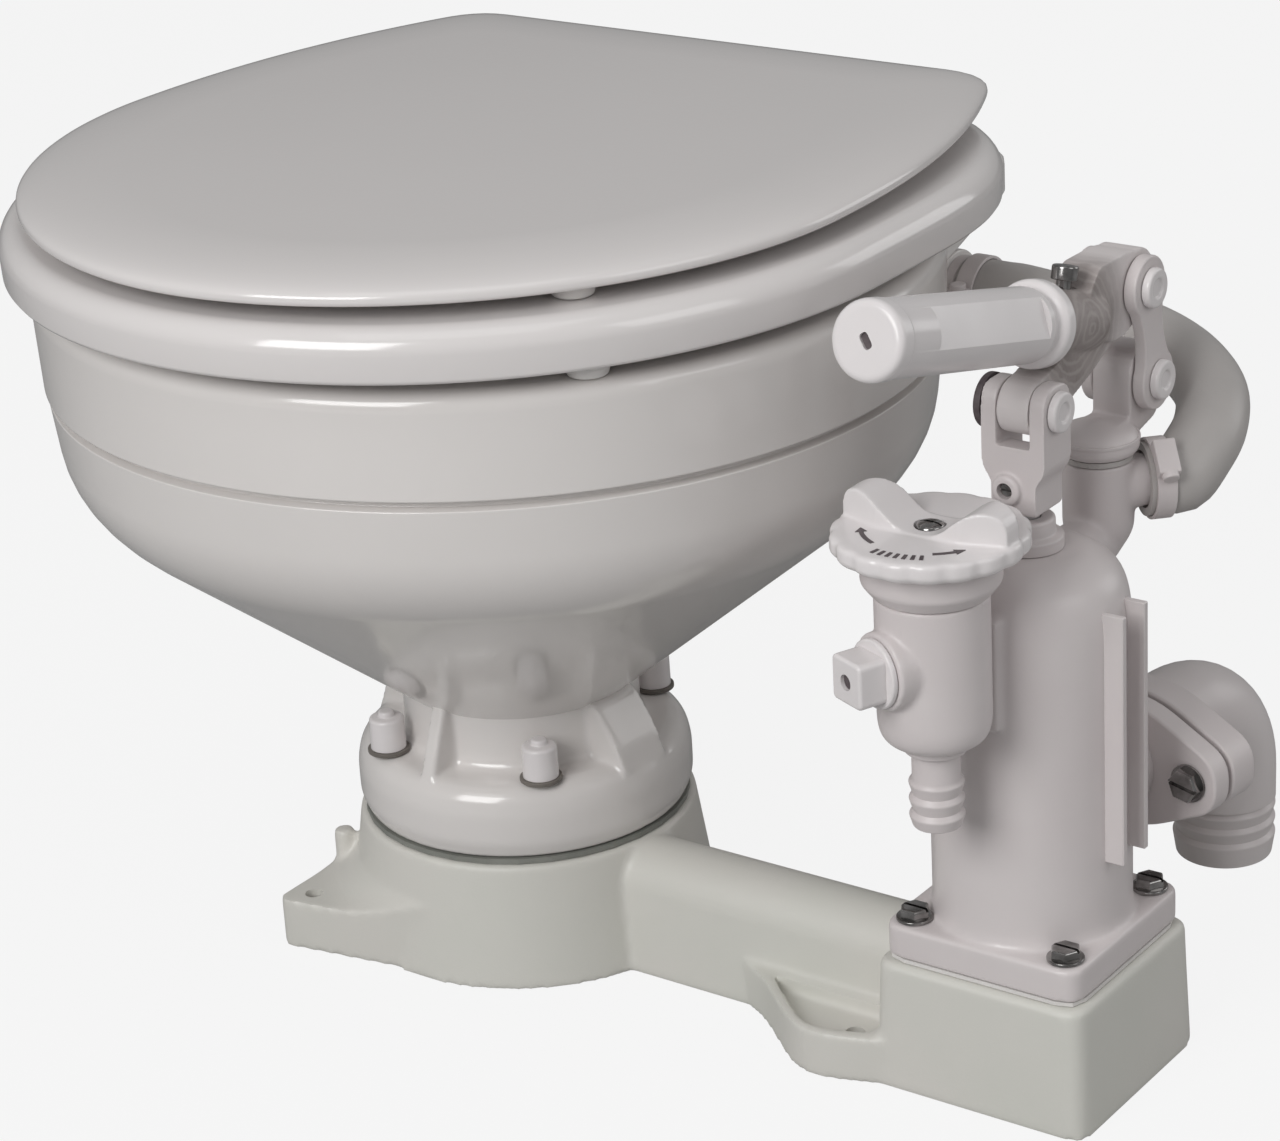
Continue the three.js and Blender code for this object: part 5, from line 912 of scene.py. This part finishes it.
class TOILET_OT_screws(Piece):
    """The dark screws and bolts."""

    bl_idname = "toilet.screws"
    bl_label = "Screws"

    def make(self, context):
        for i, (x, y) in enumerate(PLATE_CORNERS):
            low = PLATE_TOP + 0.3
            at = PUMP + Vector((x, y, 0))
            head = together(
                turned([
                    (0, low), (6.6, low), (6.6, low + 1, 0.4), (5.6, low + 1.2), (0, low + 1.2),
                ], at, around=40),
                turned([(0, low + 1), (5.6, low + 1), (5.5, low + 4.6, 1.4), (0, low + 4.6)], at, around=6),
                rod(at + UP * 36, at + UP * (low + 1), 2.3, around=24),
            )
            head = slotted_head(head, at + UP * (low + 4.6), UP)
            finished(head, f"plate_bolt_{i + 1}", "root", "dark chrome", f"plate_screw_{i + 1}", sharp=28)
        for side, name in ((FLANGE_BOLT_AT, "right"), (-FLANGE_BOLT_AT, "left")):
            way = on_port(0, side), PORT_WAY
            bolt = together(
                turned([(0, 39.4), (6.2, 39.4, 1.2), (6.2, 43.9), (0, 43.9)], *way, 6),
                turned([(0, 42.9), (7, 42.9), (7, 43.9), (0, 43.9)], *way, 40),
                rod(on_port(42, side), on_port(72, side), 2.3, around=24),
                turned([(0, 68.6), (5.2, 68.6), (5.2, 73.1, 0.8), (0, 73.1)], *way, 6),
            )
            bolt = slotted_head(bolt, on_port(39.4, side), PORT_WAY, 1.4)
            finished(bolt, f"flange_screw_{name}", "root", "dark chrome", f"flange_bolt_{name}", sharp=28)
        boss = Vector((228, -9, CLEVIS_Z + 9))
        screw = turned([(0, 5.6), (2.4, 5.6), (2.4, 10.2, 0.4), (0, 10.2)], boss, FRONT, 32)
        screw = slotted_head(screw, boss + Vector((0, -10.2, 0)), FRONT, 0.7, 8, 0.8)
        finished(screw, "clevis_bolt", "rod", "dark chrome", "clevis_screw")
        seat = KNOB_Z + 7.3
        screw = turned([
            (0, 220.8), (1.8, 220.8), (1.8, seat), (5, seat), (4.6, seat + 1.8, 0.8), (2.5, seat + 2.6, 0.8),
            (0, seat + 2.6),
        ], VALVE, around=40)
        screw = slotted_head(screw, VALVE + UP * (seat + 2.6), UP, 1.0, 12, 1.0)
        finished(screw, "knob_bolt", "knob", "dark chrome", "knob_screw")


class TOILET_OT_discharge(Piece):
    """The discharge elbow with its flange and barbed leg."""

    bl_idname = "toilet.discharge"
    bl_label = "Discharge elbow"

    def make(self, context):
        bend = [
            on_port(ELBOW_LEG - BEND_R + BEND_R * math.sin(a), 0, -BEND_R * (1 - math.cos(a)))
            for a in (math.radians(d) for d in range(0, 91, 6))
        ]
        path = [on_port(ELBOW_FACE + 2), on_port(75), *bend, on_port(ELBOW_LEG, 0, -42)]
        outer = piped(path, ELBOW_R, PORT_BORE_R, 72)
        leg = turned(
            [(PORT_BORE_R, 0), (ELBOW_R, 0), *barbed(ELBOW_R, 8, 30), (PORT_BORE_R, 30)],
            on_port(ELBOW_LEG, 0, -35), DOWN,
        )
        back = ELBOW_FACE + ELBOW_FLANGE_T
        flange = carved(port_flange(ELBOW_FACE, back), rod(on_port(40), on_port(80), PORT_BORE_R))
        collar = turned([
            (PORT_BORE_R, back - 1), (20.6, back - 1), (20.6, back + 1.4, 1), (ELBOW_R, back + 3, 1),
            (PORT_BORE_R, back + 3),
        ], on_port(0), PORT_WAY, 72)
        finished(together(outer, leg, flange, collar), "elbow", "root", "pump moulding", "discharge_elbow")


class TOILET_OT_gland(Piece):
    """The gland nut round the rod, and the rod."""

    bl_idname = "toilet.gland"
    bl_label = "Gland and rod"

    def make(self, context):
        nut = turned([
            (4.7, GLAND_Z), (12.5, GLAND_Z), (12.5, GLAND_Z + 4.2, 0.8), (9.7, GLAND_Z + 5, 0.6),
            (9.5, GLAND_Z + 10.7, 1.2), (4.7, GLAND_Z + 10.7, 0.6),
        ], PUMP)
        finished(nut, "gland_ring", "root", "pump moulding", "gland_nut")
        bar = rod(PUMP + UP * 67, PUMP + UP * 227.7, 4.4, around=64)
        finished(bar, "pump_rod", "rod", "stainless", "piston_rod")


class TOILET_OT_inlet_valve(Piece):
    """The inlet valve's housing, collar, side plug and hose tail."""

    bl_idname = "toilet.inlet_valve"
    bl_label = "Inlet valve"

    def make(self, context):
        way = Vector((*polar(1, 247), 0))
        shell = turned([
            (0, VALVE_Z), (13, VALVE_Z, 1), (17.7, VALVE_Z + 3, 2.5), (19.2, VALVE_Z + 8, 4),
            (19.2, VALVE_TOP, 0.5), (0, VALVE_TOP),
        ])
        neck = slab([(-11, 0), (11, 0), (11, 19.7), (-11, 19.7)], VALVE_Z + 8, VALVE_TOP - 8, "z")
        plug_z = VALVE_Z + 31
        boss = turned([(0, 0), (13.5, 0), (13.5, 22.2, 1), (0, 22.2)], (0, 0, plug_z), way, 64)
        housing = blended(together(shell, neck, boss), 0.8, 5)
        finished(moved(housing, VALVE), "valve_body", "root", "pump moulding", "valve_housing")
        low = VALVE_TOP + 0.3
        collar = turned([
            (4.3, low), (19.8, low, 0.4), (23.4, low + 4.6, 1.2), (23.4, COLLAR_TOP, 1), (4.3, COLLAR_TOP),
        ], VALVE)
        finished(collar, "valve_ring", "root", "pump moulding", "valve_collar")
        face = 22.5
        head = slab([(-8, -8, 2.4), (8, -8, 2.4), (8, 8, 2.4), (-8, 8, 2.4)], face + 1, face + 12.5, "z", 1.3)
        head = carved(head, rod((0, 0, face + 2), (0, 0, face + 14), 2.8))
        plug = together(head, turned([
            (0, 15.5), (7, 15.5), (7, face), (12, face, 0.5), (12, face + 2, 0.9), (0, face + 2),
        ], around=64))
        spin = Matrix.Rotation(math.radians(247), 4, "Z") @ Matrix.Rotation(math.pi / 2, 4, "Y")
        spin = Matrix.Translation(VALVE + UP * plug_z) @ spin
        # A near-black rod inside the plug's hole is painted shade in that recess.
        shade = rod((0, 0, face + 2.1), (0, 0, face + 11.2), 2.7)
        for part in (plug, shade):
            bmesh.ops.transform(part, matrix=spin, verts=part.verts)
        finished(plug, "side_plug_head", "root", "bright moulding", "side_plug")
        finished(shade, "side_plug_shade", "root", "dial ink", "side_plug")
        shoulder = VALVE_Z - 0.3
        tail = [(r, shoulder - d, *c) for r, d, *c in barbed(9.5, 12.2, 30.3)]
        barb = turned([
            (6.5, 156), (8.5, 156), (8.5, shoulder), (10.7, shoulder), (10.7, shoulder - 2.5, 0.8),
            (8.2, shoulder - 2.5, 0.3), *tail[:-1], (8.2, 118.5, 0.6), (6.5, 118.5),
        ], VALVE)
        finished(barb, "intake_tail", "root", "pump moulding", "intake_barb")


class TOILET_OT_knob(Piece):
    """The flush knob: a scalloped disc with two ears, and its generic arrow marks."""

    bl_idname = "toilet.knob"
    bl_label = "Knob"

    def make(self, context):
        top, lobes = KNOB_Z + 7.5, 18
        rim = []
        for i in range(288):
            t = 2 * math.pi * i / 288
            r = KNOB_R - 0.8 * (0.5 - 0.5 * math.cos(lobes * t)) ** 2
            rim.append((r * math.cos(t), r * math.sin(t), 0))
        disc = stacked([shrunk(rim, share, 0, z) for share, z in (
            (0.9, KNOB_Z), (0.965, KNOB_Z + 1.1), (1, KNOB_Z + 2.6), (1, top - 1.3), (0.988, top - 0.3),
            (0.96, top + 0.2), (0.9, top + 0.35), (0.4, top + 0.6),
        )])
        peak = top + 12
        saddle = [
            (-31, top - 3), (-31, peak - 3, 6), (-23, peak, 5), (-16, peak - 3, 6), (-7, top + 1, 5),
            (7, top + 1, 5), (16, peak - 3, 6), (23, peak, 5), (31, peak - 3, 6), (31, top - 3),
        ]
        plan = [(-42, 0, 9), (-12, -10.6, 10), (12, -10.6, 10), (42, 0, 9), (12, 10.6, 10), (-12, 10.6, 10)]
        ears = crossed(slab(saddle, -9, 9, "y", points=10), slab(plan, KNOB_Z, peak + 2, points=10))
        knob = carved(blended(together(disc, ears), 0.55, 7), rod((0, 0, top - 0.4), (0, 0, peak), 5.4))
        finished(moved(knob, VALVE), "knob_handle", "knob", "bright moulding", "knob")
        finished(self.marks(top + 0.55), "knob_marks", "knob", "dial ink")

    def marks(self, z):
        """Two arrows round the disc's front and a row of ticks between them."""
        def arc(r, a0, a1, width):
            steps = 14
            inner = [(r - width / 2, a0 + (a1 - a0) * k / steps) for k in range(steps + 1)]
            outer = [(r + width / 2, a) for _, a in reversed(inner)]
            return [polar(*spot) for spot in inner + outer]

        def head(r, a, to):
            return [polar(r - 2, a), polar(r, a + to), polar(r + 2, a)]

        shapes = [arc(22.5, 219, 246, 1.5), head(22.5, 219, -9), arc(23.5, 303, 321, 1.5), head(23.5, 321, 9)]
        shapes += [arc(26.4, a, a + 2.6, 3.4) for a in range(258, 299, 6)]
        return moved(together(*[slab(outline, z - 0.6, z + 0.1) for outline in shapes]), VALVE)


def crossed(a, b):
    """What two shapes share."""
    obj, other = as_object(a), as_object(b, "tool")
    cut = obj.modifiers.new("share", "BOOLEAN")
    cut.operation = "INTERSECT"
    cut.solver = "EXACT"
    cut.object = other
    return applied(obj, other)


class TOILET_OT_clevis(Piece):
    """The clevis on the rod, with its pin."""

    bl_idname = "toilet.clevis"
    bl_label = "Clevis"

    def make(self, context):
        low, top, floor = CLEVIS_Z, PIN_Z + 9, PIN_Z - 12
        side = slab([(-9, low, 1.5), (9, low, 1.5), (9, top, 8), (-9, top, 8)], -13, 13, "x", points=10)
        front = slab([
            (-8.5, low, 1), (8.5, low, 1), (8.5, low + 11, 2), (12, low + 16, 2), (12, top, 1), (-12, top, 1),
            (-12, low + 16, 2), (-8.5, low + 11, 2),
        ], -10, 10, "y")
        gap = [(-11, floor), (0, floor, 3), (11, floor - 10), (11, top + 2), (-11, top + 2)]
        gap = slab(gap, -6.3, 6.3, "x")
        fork = carved(crossed(side, front), gap)
        boss = turned([(0, 0), (5.4, 0), (5.4, 11.5, 1.2), (0, 11.5)], (-2, 0, low + 9), FRONT, 48)
        fork = blended(together(fork, boss), 0.5, 4)
        fork = carved(
            fork,
            rod((-2, -9.2, low + 9), (-2, -14, low + 9), 2.9),
            rod((-14, 0, PIN_Z), (14, 0, PIN_Z), PIN_HOLE_R),
            rod((0, 0, low - 1), (0, 0, floor - 9), 4.7),
        )
        finished(moved(fork, PUMP), "clevis_fork", "rod", "pump moulding", "clevis")
        finished(cross_pin((0, PIN_Z), 12, 5, 7), "clevis_cross_pin", "rod", "bright moulding", "clevis_pin")
        # A near-black disc at the pin's left end, wider than the pin's own cap, is a painted shadow beside the
        # fork.
        cap = turned([(0, -15.1), (9.5, -15.1, 1.2), (9.5, -12.3), (0, -12.3)], PUMP + UP * PIN_Z, X_WAY, 64)
        finished(cap, "clevis_pin_cap", "rod", "dial ink", "clevis_pin")


def cross_pin(spot, half, left, right):
    """A pin about X with a capped end each side."""
    near, far = half + 0.3, half + 3.1
    return turned([
        (0, -far), (left, -far, 1.2), (left, -near), (3.4, -near), (3.4, near), (right, near),
        (right, far, 1.2), (3.6, far, 0.8), (3.0, far - 0.9, 0.6), (0, far - 0.9),
    ], PUMP + Vector((0, *spot)), X_WAY, 64)


def on_grip(s, up=0.0):
    """A point along the grip's axis, which leaves the socket at s = 0 toward the front."""
    c, t = math.cos(math.radians(GRIP_TILT)), math.sin(math.radians(GRIP_TILT))
    return PUMP + Vector((0, 9 - s * c + up * t, PIN_Z + 26 + s * t + up * c))


GRIP_WAY = on_grip(1) - on_grip(0)


class TOILET_OT_lever(Piece):
    """The lever's hub, stem, grip and end cap."""

    bl_idname = "toilet.lever"
    bl_label = "Lever"

    def make(self, context):
        ty, tz = TOP_PIN
        socket = turned([(0, 0), (11.5, 0, 1.2), (11.5, 33, 4), (0, 33)], on_grip(0), -GRIP_WAY, 64)
        head = slab([
            (ty - 36, tz - 9), (ty - 34, tz + 5), (ty - 26, tz + 14, 3), (ty, tz + 13.6, 8),
            (ty + 11, tz + 6, 4), (ty + 9, tz - 8, 4), (ty - 12, tz - 17, 8),
        ], -7.5, 7.5, "x")
        eye = rod((-7.5, ty, tz), (7.5, ty, tz), 13, around=64)
        foot = rod((-6, 0, PIN_Z), (6, 0, PIN_Z), 9.4, around=64)
        web = slab([
            (0, PIN_Z + 9.4), (14, PIN_Z + 12.8, 3), (ty - 22, PIN_Z + 24), (ty - 12, tz - 15),
            (ty - 30, PIN_Z + 1, 10), (2, PIN_Z - 9),
        ], -6, 6, "x")
        arm = moved(together(head, eye, foot, web), PUMP)
        hub = blended(together(arm, socket), 0.65, 5)
        hub = carved(
            hub,
            rod(PUMP + Vector((-14, ty, tz)), PUMP + Vector((14, ty, tz)), PIN_HOLE_R),
            rod(PUMP + Vector((-8, 0, PIN_Z)), PUMP + Vector((8, 0, PIN_Z)), PIN_HOLE_R),
            rod(on_grip(-14.7, 11), on_grip(-14.7, 30), 5.2),
        )
        finished(hub, "lever_knuckle", "lever", "worn hub", "lever_hub")
        way = on_grip(-14.7), on_grip(0, 1) - on_grip(0)
        screw = together(
            turned([(0, 6.6), (2.6, 6.6), (2.6, 17), (0, 17)], *way, 32),
            turned([(0, 14), (4.6, 14, 0.4), (4.6, 19, 0.9), (0, 19)], *way, 40),
        )
        finished(screw, "lock_screw", "lever", "dark chrome", "set_screw", sharp=28)
        finished(rod(on_grip(-28), on_grip(90), 6), "lever_bar", "lever", "stainless", "lever_stem")
        sleeve = turned([
            (6.3, 0.3), (15, 0.3, 1.6), (15, 6, 1.6), (11.8, 7.4, 0.8), (11.8, 9.6, 0.6), (12.9, 10.6, 0.8),
            (12.9, 101.2, 0.6), (6.3, 101.2),
        ], on_grip(0), GRIP_WAY)
        flats = []
        for s in (-1, 1):
            spots = [on_grip(14, -9), on_grip(85, -9), on_grip(85, 9), on_grip(14, 9)]
            edges = sorted((PUMP.x + s * 10.9, PUMP.x + s * 16))
            flat = slab([(p.y, p.z, 0.6) for p in spots], *edges, "x")
            roll = Matrix.Rotation(math.radians(FLAT_ROLL), 3, GRIP_WAY)
            bmesh.ops.rotate(flat, cent=on_grip(0), matrix=roll, verts=flat.verts)
            flats.append(flat)
        finished(carved(sleeve, *flats), "grip_sleeve", "lever", "bright moulding", "grip")
        cap = turned([
            (0, 109), (13.3, 109, 3), (13.3, 101.5, 0.6), (6, 101.5), (6, 90.3), (0, 90.3),
        ], on_grip(0), GRIP_WAY)
        roll = Matrix.Rotation(math.radians(SLOT_ROLL), 2)
        slot = ((-1.6, -2.8), (1.6, -2.8), (1.6, 2.8), (-1.6, 2.8))
        slot = [(*(roll @ Vector(corner)), 1.5) for corner in slot]
        cap = carved(cap, placed(slab(slot, -13, 2), on_grip(109), GRIP_WAY))
        finished(cap, "grip_end", "lever", "bright moulding", "grip_cap")
        # A near-black insert at the bottom of the end cap's slot is painted shade in the slot.
        bottom = slab([(x * 0.97, y * 0.97, c) for x, y, c in slot], -12.8, -1.2)
        finished(placed(bottom, on_grip(109), GRIP_WAY), "grip_slot_shade", "lever", "dial ink", "grip_cap")


class TOILET_OT_links(Piece):
    """The pair of side links and their two pins."""

    bl_idname = "toilet.links"
    bl_label = "Links"

    def make(self, context):
        for side, name in ((1, "right"), (-1, "left")):
            finished(self.plate(side), f"side_link_{name}", "links", "pump moulding", f"link_{name}")
        finished(cross_pin(TOP_PIN, 12.5, 7, 7), "upper_pin", "links", "bright moulding", "link_pin")
        finished(cross_pin(POST_PIN, 12.5, 7, 7), "lower_pin", "links", "bright moulding", "post_pin")

    def plate(self, side):
        """A link: two round ends with a narrower neck between them."""
        start, end = Vector(TOP_PIN), Vector(POST_PIN)
        way = end - start
        length = way.length
        open_half = math.radians(50)
        x, y = LINK_R * math.cos(open_half), LINK_R * math.sin(open_half)
        turn = math.atan2(way.y, way.x)

        def arc(middle, a0, a1):
            turns = [a0 + (a1 - a0) * k / 24 for k in range(25)]
            return [(middle + LINK_R * math.cos(a), LINK_R * math.sin(a)) for a in turns]

        def neck(*ends):
            return [tuple(bent(*map(Vector, ends), k / 8)) for k in range(1, 8)]

        outline = arc(0, open_half, 2 * math.pi - open_half)
        outline += neck((x, -y), (length / 2, -13.2 + y), (length - x, -y))
        outline += arc(length, open_half - math.pi, math.pi - open_half)
        outline += neck((length - x, y), (length / 2, 13.2 - y), (x, y))
        spots = []
        for u, v in outline:
            p = Vector((u, v))
            p.rotate(Matrix.Rotation(turn, 2))
            spots.append((PUMP.y + start.x + p.x, start.y + p.y))
        near, far = sorted((PUMP.x + side * LINK_IN, PUMP.x + side * LINK_OUT))
        pins = [(PUMP.y + y, z) for y, z in (TOP_PIN, POST_PIN)]
        holes = [rod((near - 1, *pin), (far + 1, *pin), PIN_HOLE_R) for pin in pins]
        return carved(slab(spots, near, far, "x", 0.8), *holes)


class TOILET_OT_top_cover(Piece):
    """The cover over the top valve, with the post that holds the links."""

    bl_idname = "toilet.top_cover"
    bl_label = "Top cover"

    def make(self, context):
        cap = turned([
            (0, COVER_Z), (12.8, COVER_Z), (14.4, COVER_Z + 2, 1), (14.4, COVER_Z + 5.5, 1.5),
            (11.9, COVER_Z + 9, 4), (0, COVER_Z + 11),
        ], (0, RISER_Y, 0))
        py, pz = POST_PIN
        post = slab([
            (RISER_Y, 219), (py - 5.5, 219), (py + 8.5, 222, 4), (py + 11.5, 231, 4),
            (py + 11.5, pz + 11.5, 10), (py - 11.5, pz + 11.5, 10), (py - 11.5, 226.4), (RISER_Y, 226.4),
        ], -7.4, 7.4, "x")
        cover = blended(together(cap, post), 0.55, 5)
        slot = [(61.7, 233.5, 2.2), (78.9, 233.5, 2.2), (78.9, 242.5, 2.2), (61.7, 242.5, 2.2)]
        cover = carved(cover, slab(slot, -9, 9, "x"))
        low, high = COVER_Z + 4.9, COVER_Z + 6.1
        lip = turned([(13.9, low), (14.7, low, 0.3), (14.7, high, 0.3), (13.9, high)], (0, RISER_Y, 0))
        finished(moved(together(cover, lip), PUMP), "riser_cover", "root", "pump moulding", "top_valve_cover")


HOSE_ROUTE = [
    (241.17, 51.17, 204), (244.6, 54.6, 204), (248.03, 58.03, 204), (250.97, 60.97, 204),
    (252.4, 68.7, 208.8), (251.5, 81.5, 214.8), (245.3, 94.9, 221.1), (232.5, 106.4, 225.5),
    (216.1, 116, 228), (196, 123.7, 229.3), (173.1, 128.3, 230.5),
    *[(x, INLET_Y, INLET_Z) for x in (149.6, 141.6, 133.6, 125.6)],
]


class TOILET_OT_hose(Piece):
    """The grey hose from the pump to the bowl, its clips and the bowl's inlet tail."""

    bl_idname = "toilet.hose"
    bl_label = "Hose and clips"

    def make(self, context):
        route = curve_through(HOSE_ROUTE, 110)
        finished(piped(route, HOSE_R, HOSE_BORE_R, 56), "flush_hose", "root", "grey hose", "bowl_hose")
        run = [0.0]
        for a, b in zip(route, route[1:]):
            run.append(run[-1] + (b - a).length)
        for name, node, want in (
            ("pump_clip", "hose_clamp_pump", CLIP_AT), ("bowl_clip", "hose_clamp_bowl", run[-1] - CLIP_AT),
        ):
            k = min(range(len(run)), key=lambda i: abs(run[i] - want))
            way = (route[min(k + 1, len(route) - 1)] - route[max(k - 1, 0)]).normalized()
            finished(self.clip(route[k], way), name, "root", "pump moulding", node)
        tail = turned([
            (6, -8), (6.7, -8), (6.7, 0), (13, 0), (13, 4, 1), *barbed(SPIGOT_R, 4.3, 28), (6, 28),
        ], (121.3, INLET_Y, INLET_Z), X_WAY, 64)
        finished(tail, "inlet_tail", "root", "pump moulding", "inlet_spud")

    def clip(self, at, way):
        """A banded clip with its worm housing."""
        band = turned([(13.3, -3.5), (14.4, -3.5, 0.3), (14.4, 3.5, 0.3), (13.3, 3.5)], around=72)
        box = slab([(-6.5, 14.1, 1), (6.5, 14.1, 1), (6.5, 18.6, 1), (-6.5, 18.6, 1)], -3.9, 3.9, "z", 0.5)
        screw = turned([(0, -8.5), (3, -8.5, 0.6), (3, -6), (0, -6)], (0, 16.6, 0), X_WAY, 32)
        clip = together(band, box, screw)
        bmesh.ops.rotate(clip, cent=(0, 0, 0), matrix=Matrix.Rotation(math.pi, 3, "Z"), verts=clip.verts)
        return placed(clip, at, way)


class TOILET_OT_plain_nodes(Piece):
    """Gives the solids that stay as they are their finishes."""

    bl_idname = "toilet.plain_nodes"
    bl_label = "Hidden pieces"

    def make(self, context):
        for name, material in (
            ("bowl_gasket", "grey seal"), ("plate_gasket", "white buffer"), ("top_valve", "grey hose"),
            ("joker_valve", "black seal"), ("piston_ring", "black seal"), ("piston", "pump moulding"),
            ("valve_spindle", "pump moulding"),
        ):
            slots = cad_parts[name].data.materials
            slots.clear()
            slots.append(finish(material))


# The stage, in metres: the lamps' names in the panel, their places and their sides.
FLOOR_HALF, FLOOR_Z = 6, -0.0002
LAMPS = (
    ("key", (0.1, -1.95, 1.3), 1.1),
    ("fill", (0.3, -0.5, 2.0), 1.2),
    ("side", (1.9, -0.1, 1.2), 1.0),
    ("back", (1.3, 1.7, 0.8), 1.0),
)
LAMPS_AIM = Vector((0.05, 0, 0.16))


class TOILET_OT_stage(Piece):
    """The floor, the lamps, the light all round and the camera."""

    bl_idname = "toilet.stage"
    bl_label = "Stage"

    def make(self, context):
        scene = context.scene
        stage = scene.toilet_stage
        bm = bmesh.new()
        bmesh.ops.create_grid(bm, x_segments=1, y_segments=1, size=FLOOR_HALF)
        bmesh.ops.translate(bm, vec=(0, 0, FLOOR_Z), verts=bm.verts)
        floor = as_object(bm, "floor")
        floor.data.materials.append(self.floor_paint())
        for name, place, size in LAMPS:
            self.lamp(f"{name}_lamp", place, size, getattr(stage, name))
        self.world(scene, stage.sky)
        self.camera(scene, stage)
        scene.view_settings.view_transform = "Standard"

    def floor_paint(self):
        """A pale ground that takes the shadow and looks nearly white to the camera."""
        material = bpy.data.materials.new("pale floor")
        material.use_nodes = True
        tree = material.node_tree
        shader = tree.nodes["Principled BSDF"]
        plugged(shader, {"Base Color": (0.42, 0.42, 0.42, 1), "Roughness": 0.9, "Specular IOR Level": 0.1})
        seen = added(tree, "Math", {0: added(tree, "LightPath"), 1: 0.88}, operation="MULTIPLY")
        mix = added(tree, "MixShader", {"Fac": seen, 1: shader.outputs["BSDF"], 2: added(tree, "Emission")})
        plugged(tree.nodes["Material Output"], {"Surface": mix})
        return material

    def lamp(self, name, place, size, power):
        data = bpy.data.lights.new(name, "AREA")
        data.shape = "SQUARE"
        data.size = size
        data.energy = power
        lamp = bpy.data.objects.new(name, data)
        lamp.location = place
        aim = LAMPS_AIM - Vector(place)
        lamp.rotation_euler = aim.to_track_quat("-Z", "Y").to_euler()
        bpy.context.scene.collection.objects.link(lamp)

    def world(self, scene, power):
        """An even light all round that the camera sees as white."""
        world = bpy.data.worlds.new("studio")
        world.use_nodes = True
        scene.world = world
        tree = world.node_tree
        light = tree.nodes["Background"]
        plugged(light, {"Color": WHITE, "Strength": power})
        white = added(tree, "Background", {"Color": WHITE})
        seen = added(tree, "LightPath")
        mix = added(tree, "MixShader", {"Fac": seen, 1: light.outputs["Background"], 2: white})
        plugged(tree.nodes["World Output"], {"Surface": mix})

    def camera(self, scene, stage):
        az, el, roll = stage.azimuth, stage.elevation, stage.roll
        right = Vector((math.cos(az), math.sin(az), 0))
        back = Vector((math.sin(az) * math.cos(el), -math.cos(az) * math.cos(el), math.sin(el)))
        up = back.cross(right)
        across = right * math.cos(roll) + up * math.sin(roll)
        over = up * math.cos(roll) - right * math.sin(roll)
        data = bpy.data.cameras.new("camera")
        data.sensor_fit = "HORIZONTAL"
        data.sensor_width = 36
        data.lens = stage.lens
        data.clip_end = 50
        camera = bpy.data.objects.new("camera", data)
        turn = Matrix((across, over, back)).transposed().to_4x4()
        camera.matrix_world = Matrix.Translation(Vector(stage.place)) @ turn
        scene.collection.objects.link(camera)
        scene.camera = camera


OPERATORS = (
    TOILET_OT_base, TOILET_OT_bowl, TOILET_OT_seat, TOILET_OT_lid, TOILET_OT_hinges, TOILET_OT_bowl_bolts,
    TOILET_OT_pump_body, TOILET_OT_screws, TOILET_OT_discharge, TOILET_OT_gland, TOILET_OT_inlet_valve,
    TOILET_OT_knob, TOILET_OT_clevis, TOILET_OT_lever, TOILET_OT_links, TOILET_OT_top_cover, TOILET_OT_hose,
    TOILET_OT_plain_nodes, TOILET_OT_stage,
)


class TOILET_PT_panel(bpy.types.Panel):
    """Lists the toilet's pieces."""

    bl_idname = "TOILET_PT_panel"
    bl_label = "Marine toilet"
    bl_space_type = "VIEW_3D"
    bl_region_type = "UI"
    bl_category = "Toilet"

    def draw(self, context):
        for group in (context.scene.toilet_looks, context.scene.toilet_stage):
            box = self.layout.box()
            for name in group.__annotations__:
                box.prop(group, name)
        for operator in OPERATORS:
            self.layout.operator(operator.bl_idname)


CLASSES = (ToiletLooks, ToiletStage, *OPERATORS, TOILET_PT_panel)


def register():
    for cls in CLASSES:
        bpy.utils.register_class(cls)
    bpy.types.Scene.toilet_looks = bpy.props.PointerProperty(type=ToiletLooks)
    bpy.types.Scene.toilet_stage = bpy.props.PointerProperty(type=ToiletStage)


def unregister():
    del bpy.types.Scene.toilet_stage
    del bpy.types.Scene.toilet_looks
    for cls in reversed(CLASSES):
        bpy.utils.unregister_class(cls)


def main():
    register()
    for operator in OPERATORS:
        group, name = operator.bl_idname.split(".")
        getattr(getattr(bpy.ops, group), name)()


if __name__ == "__main__":
    main()
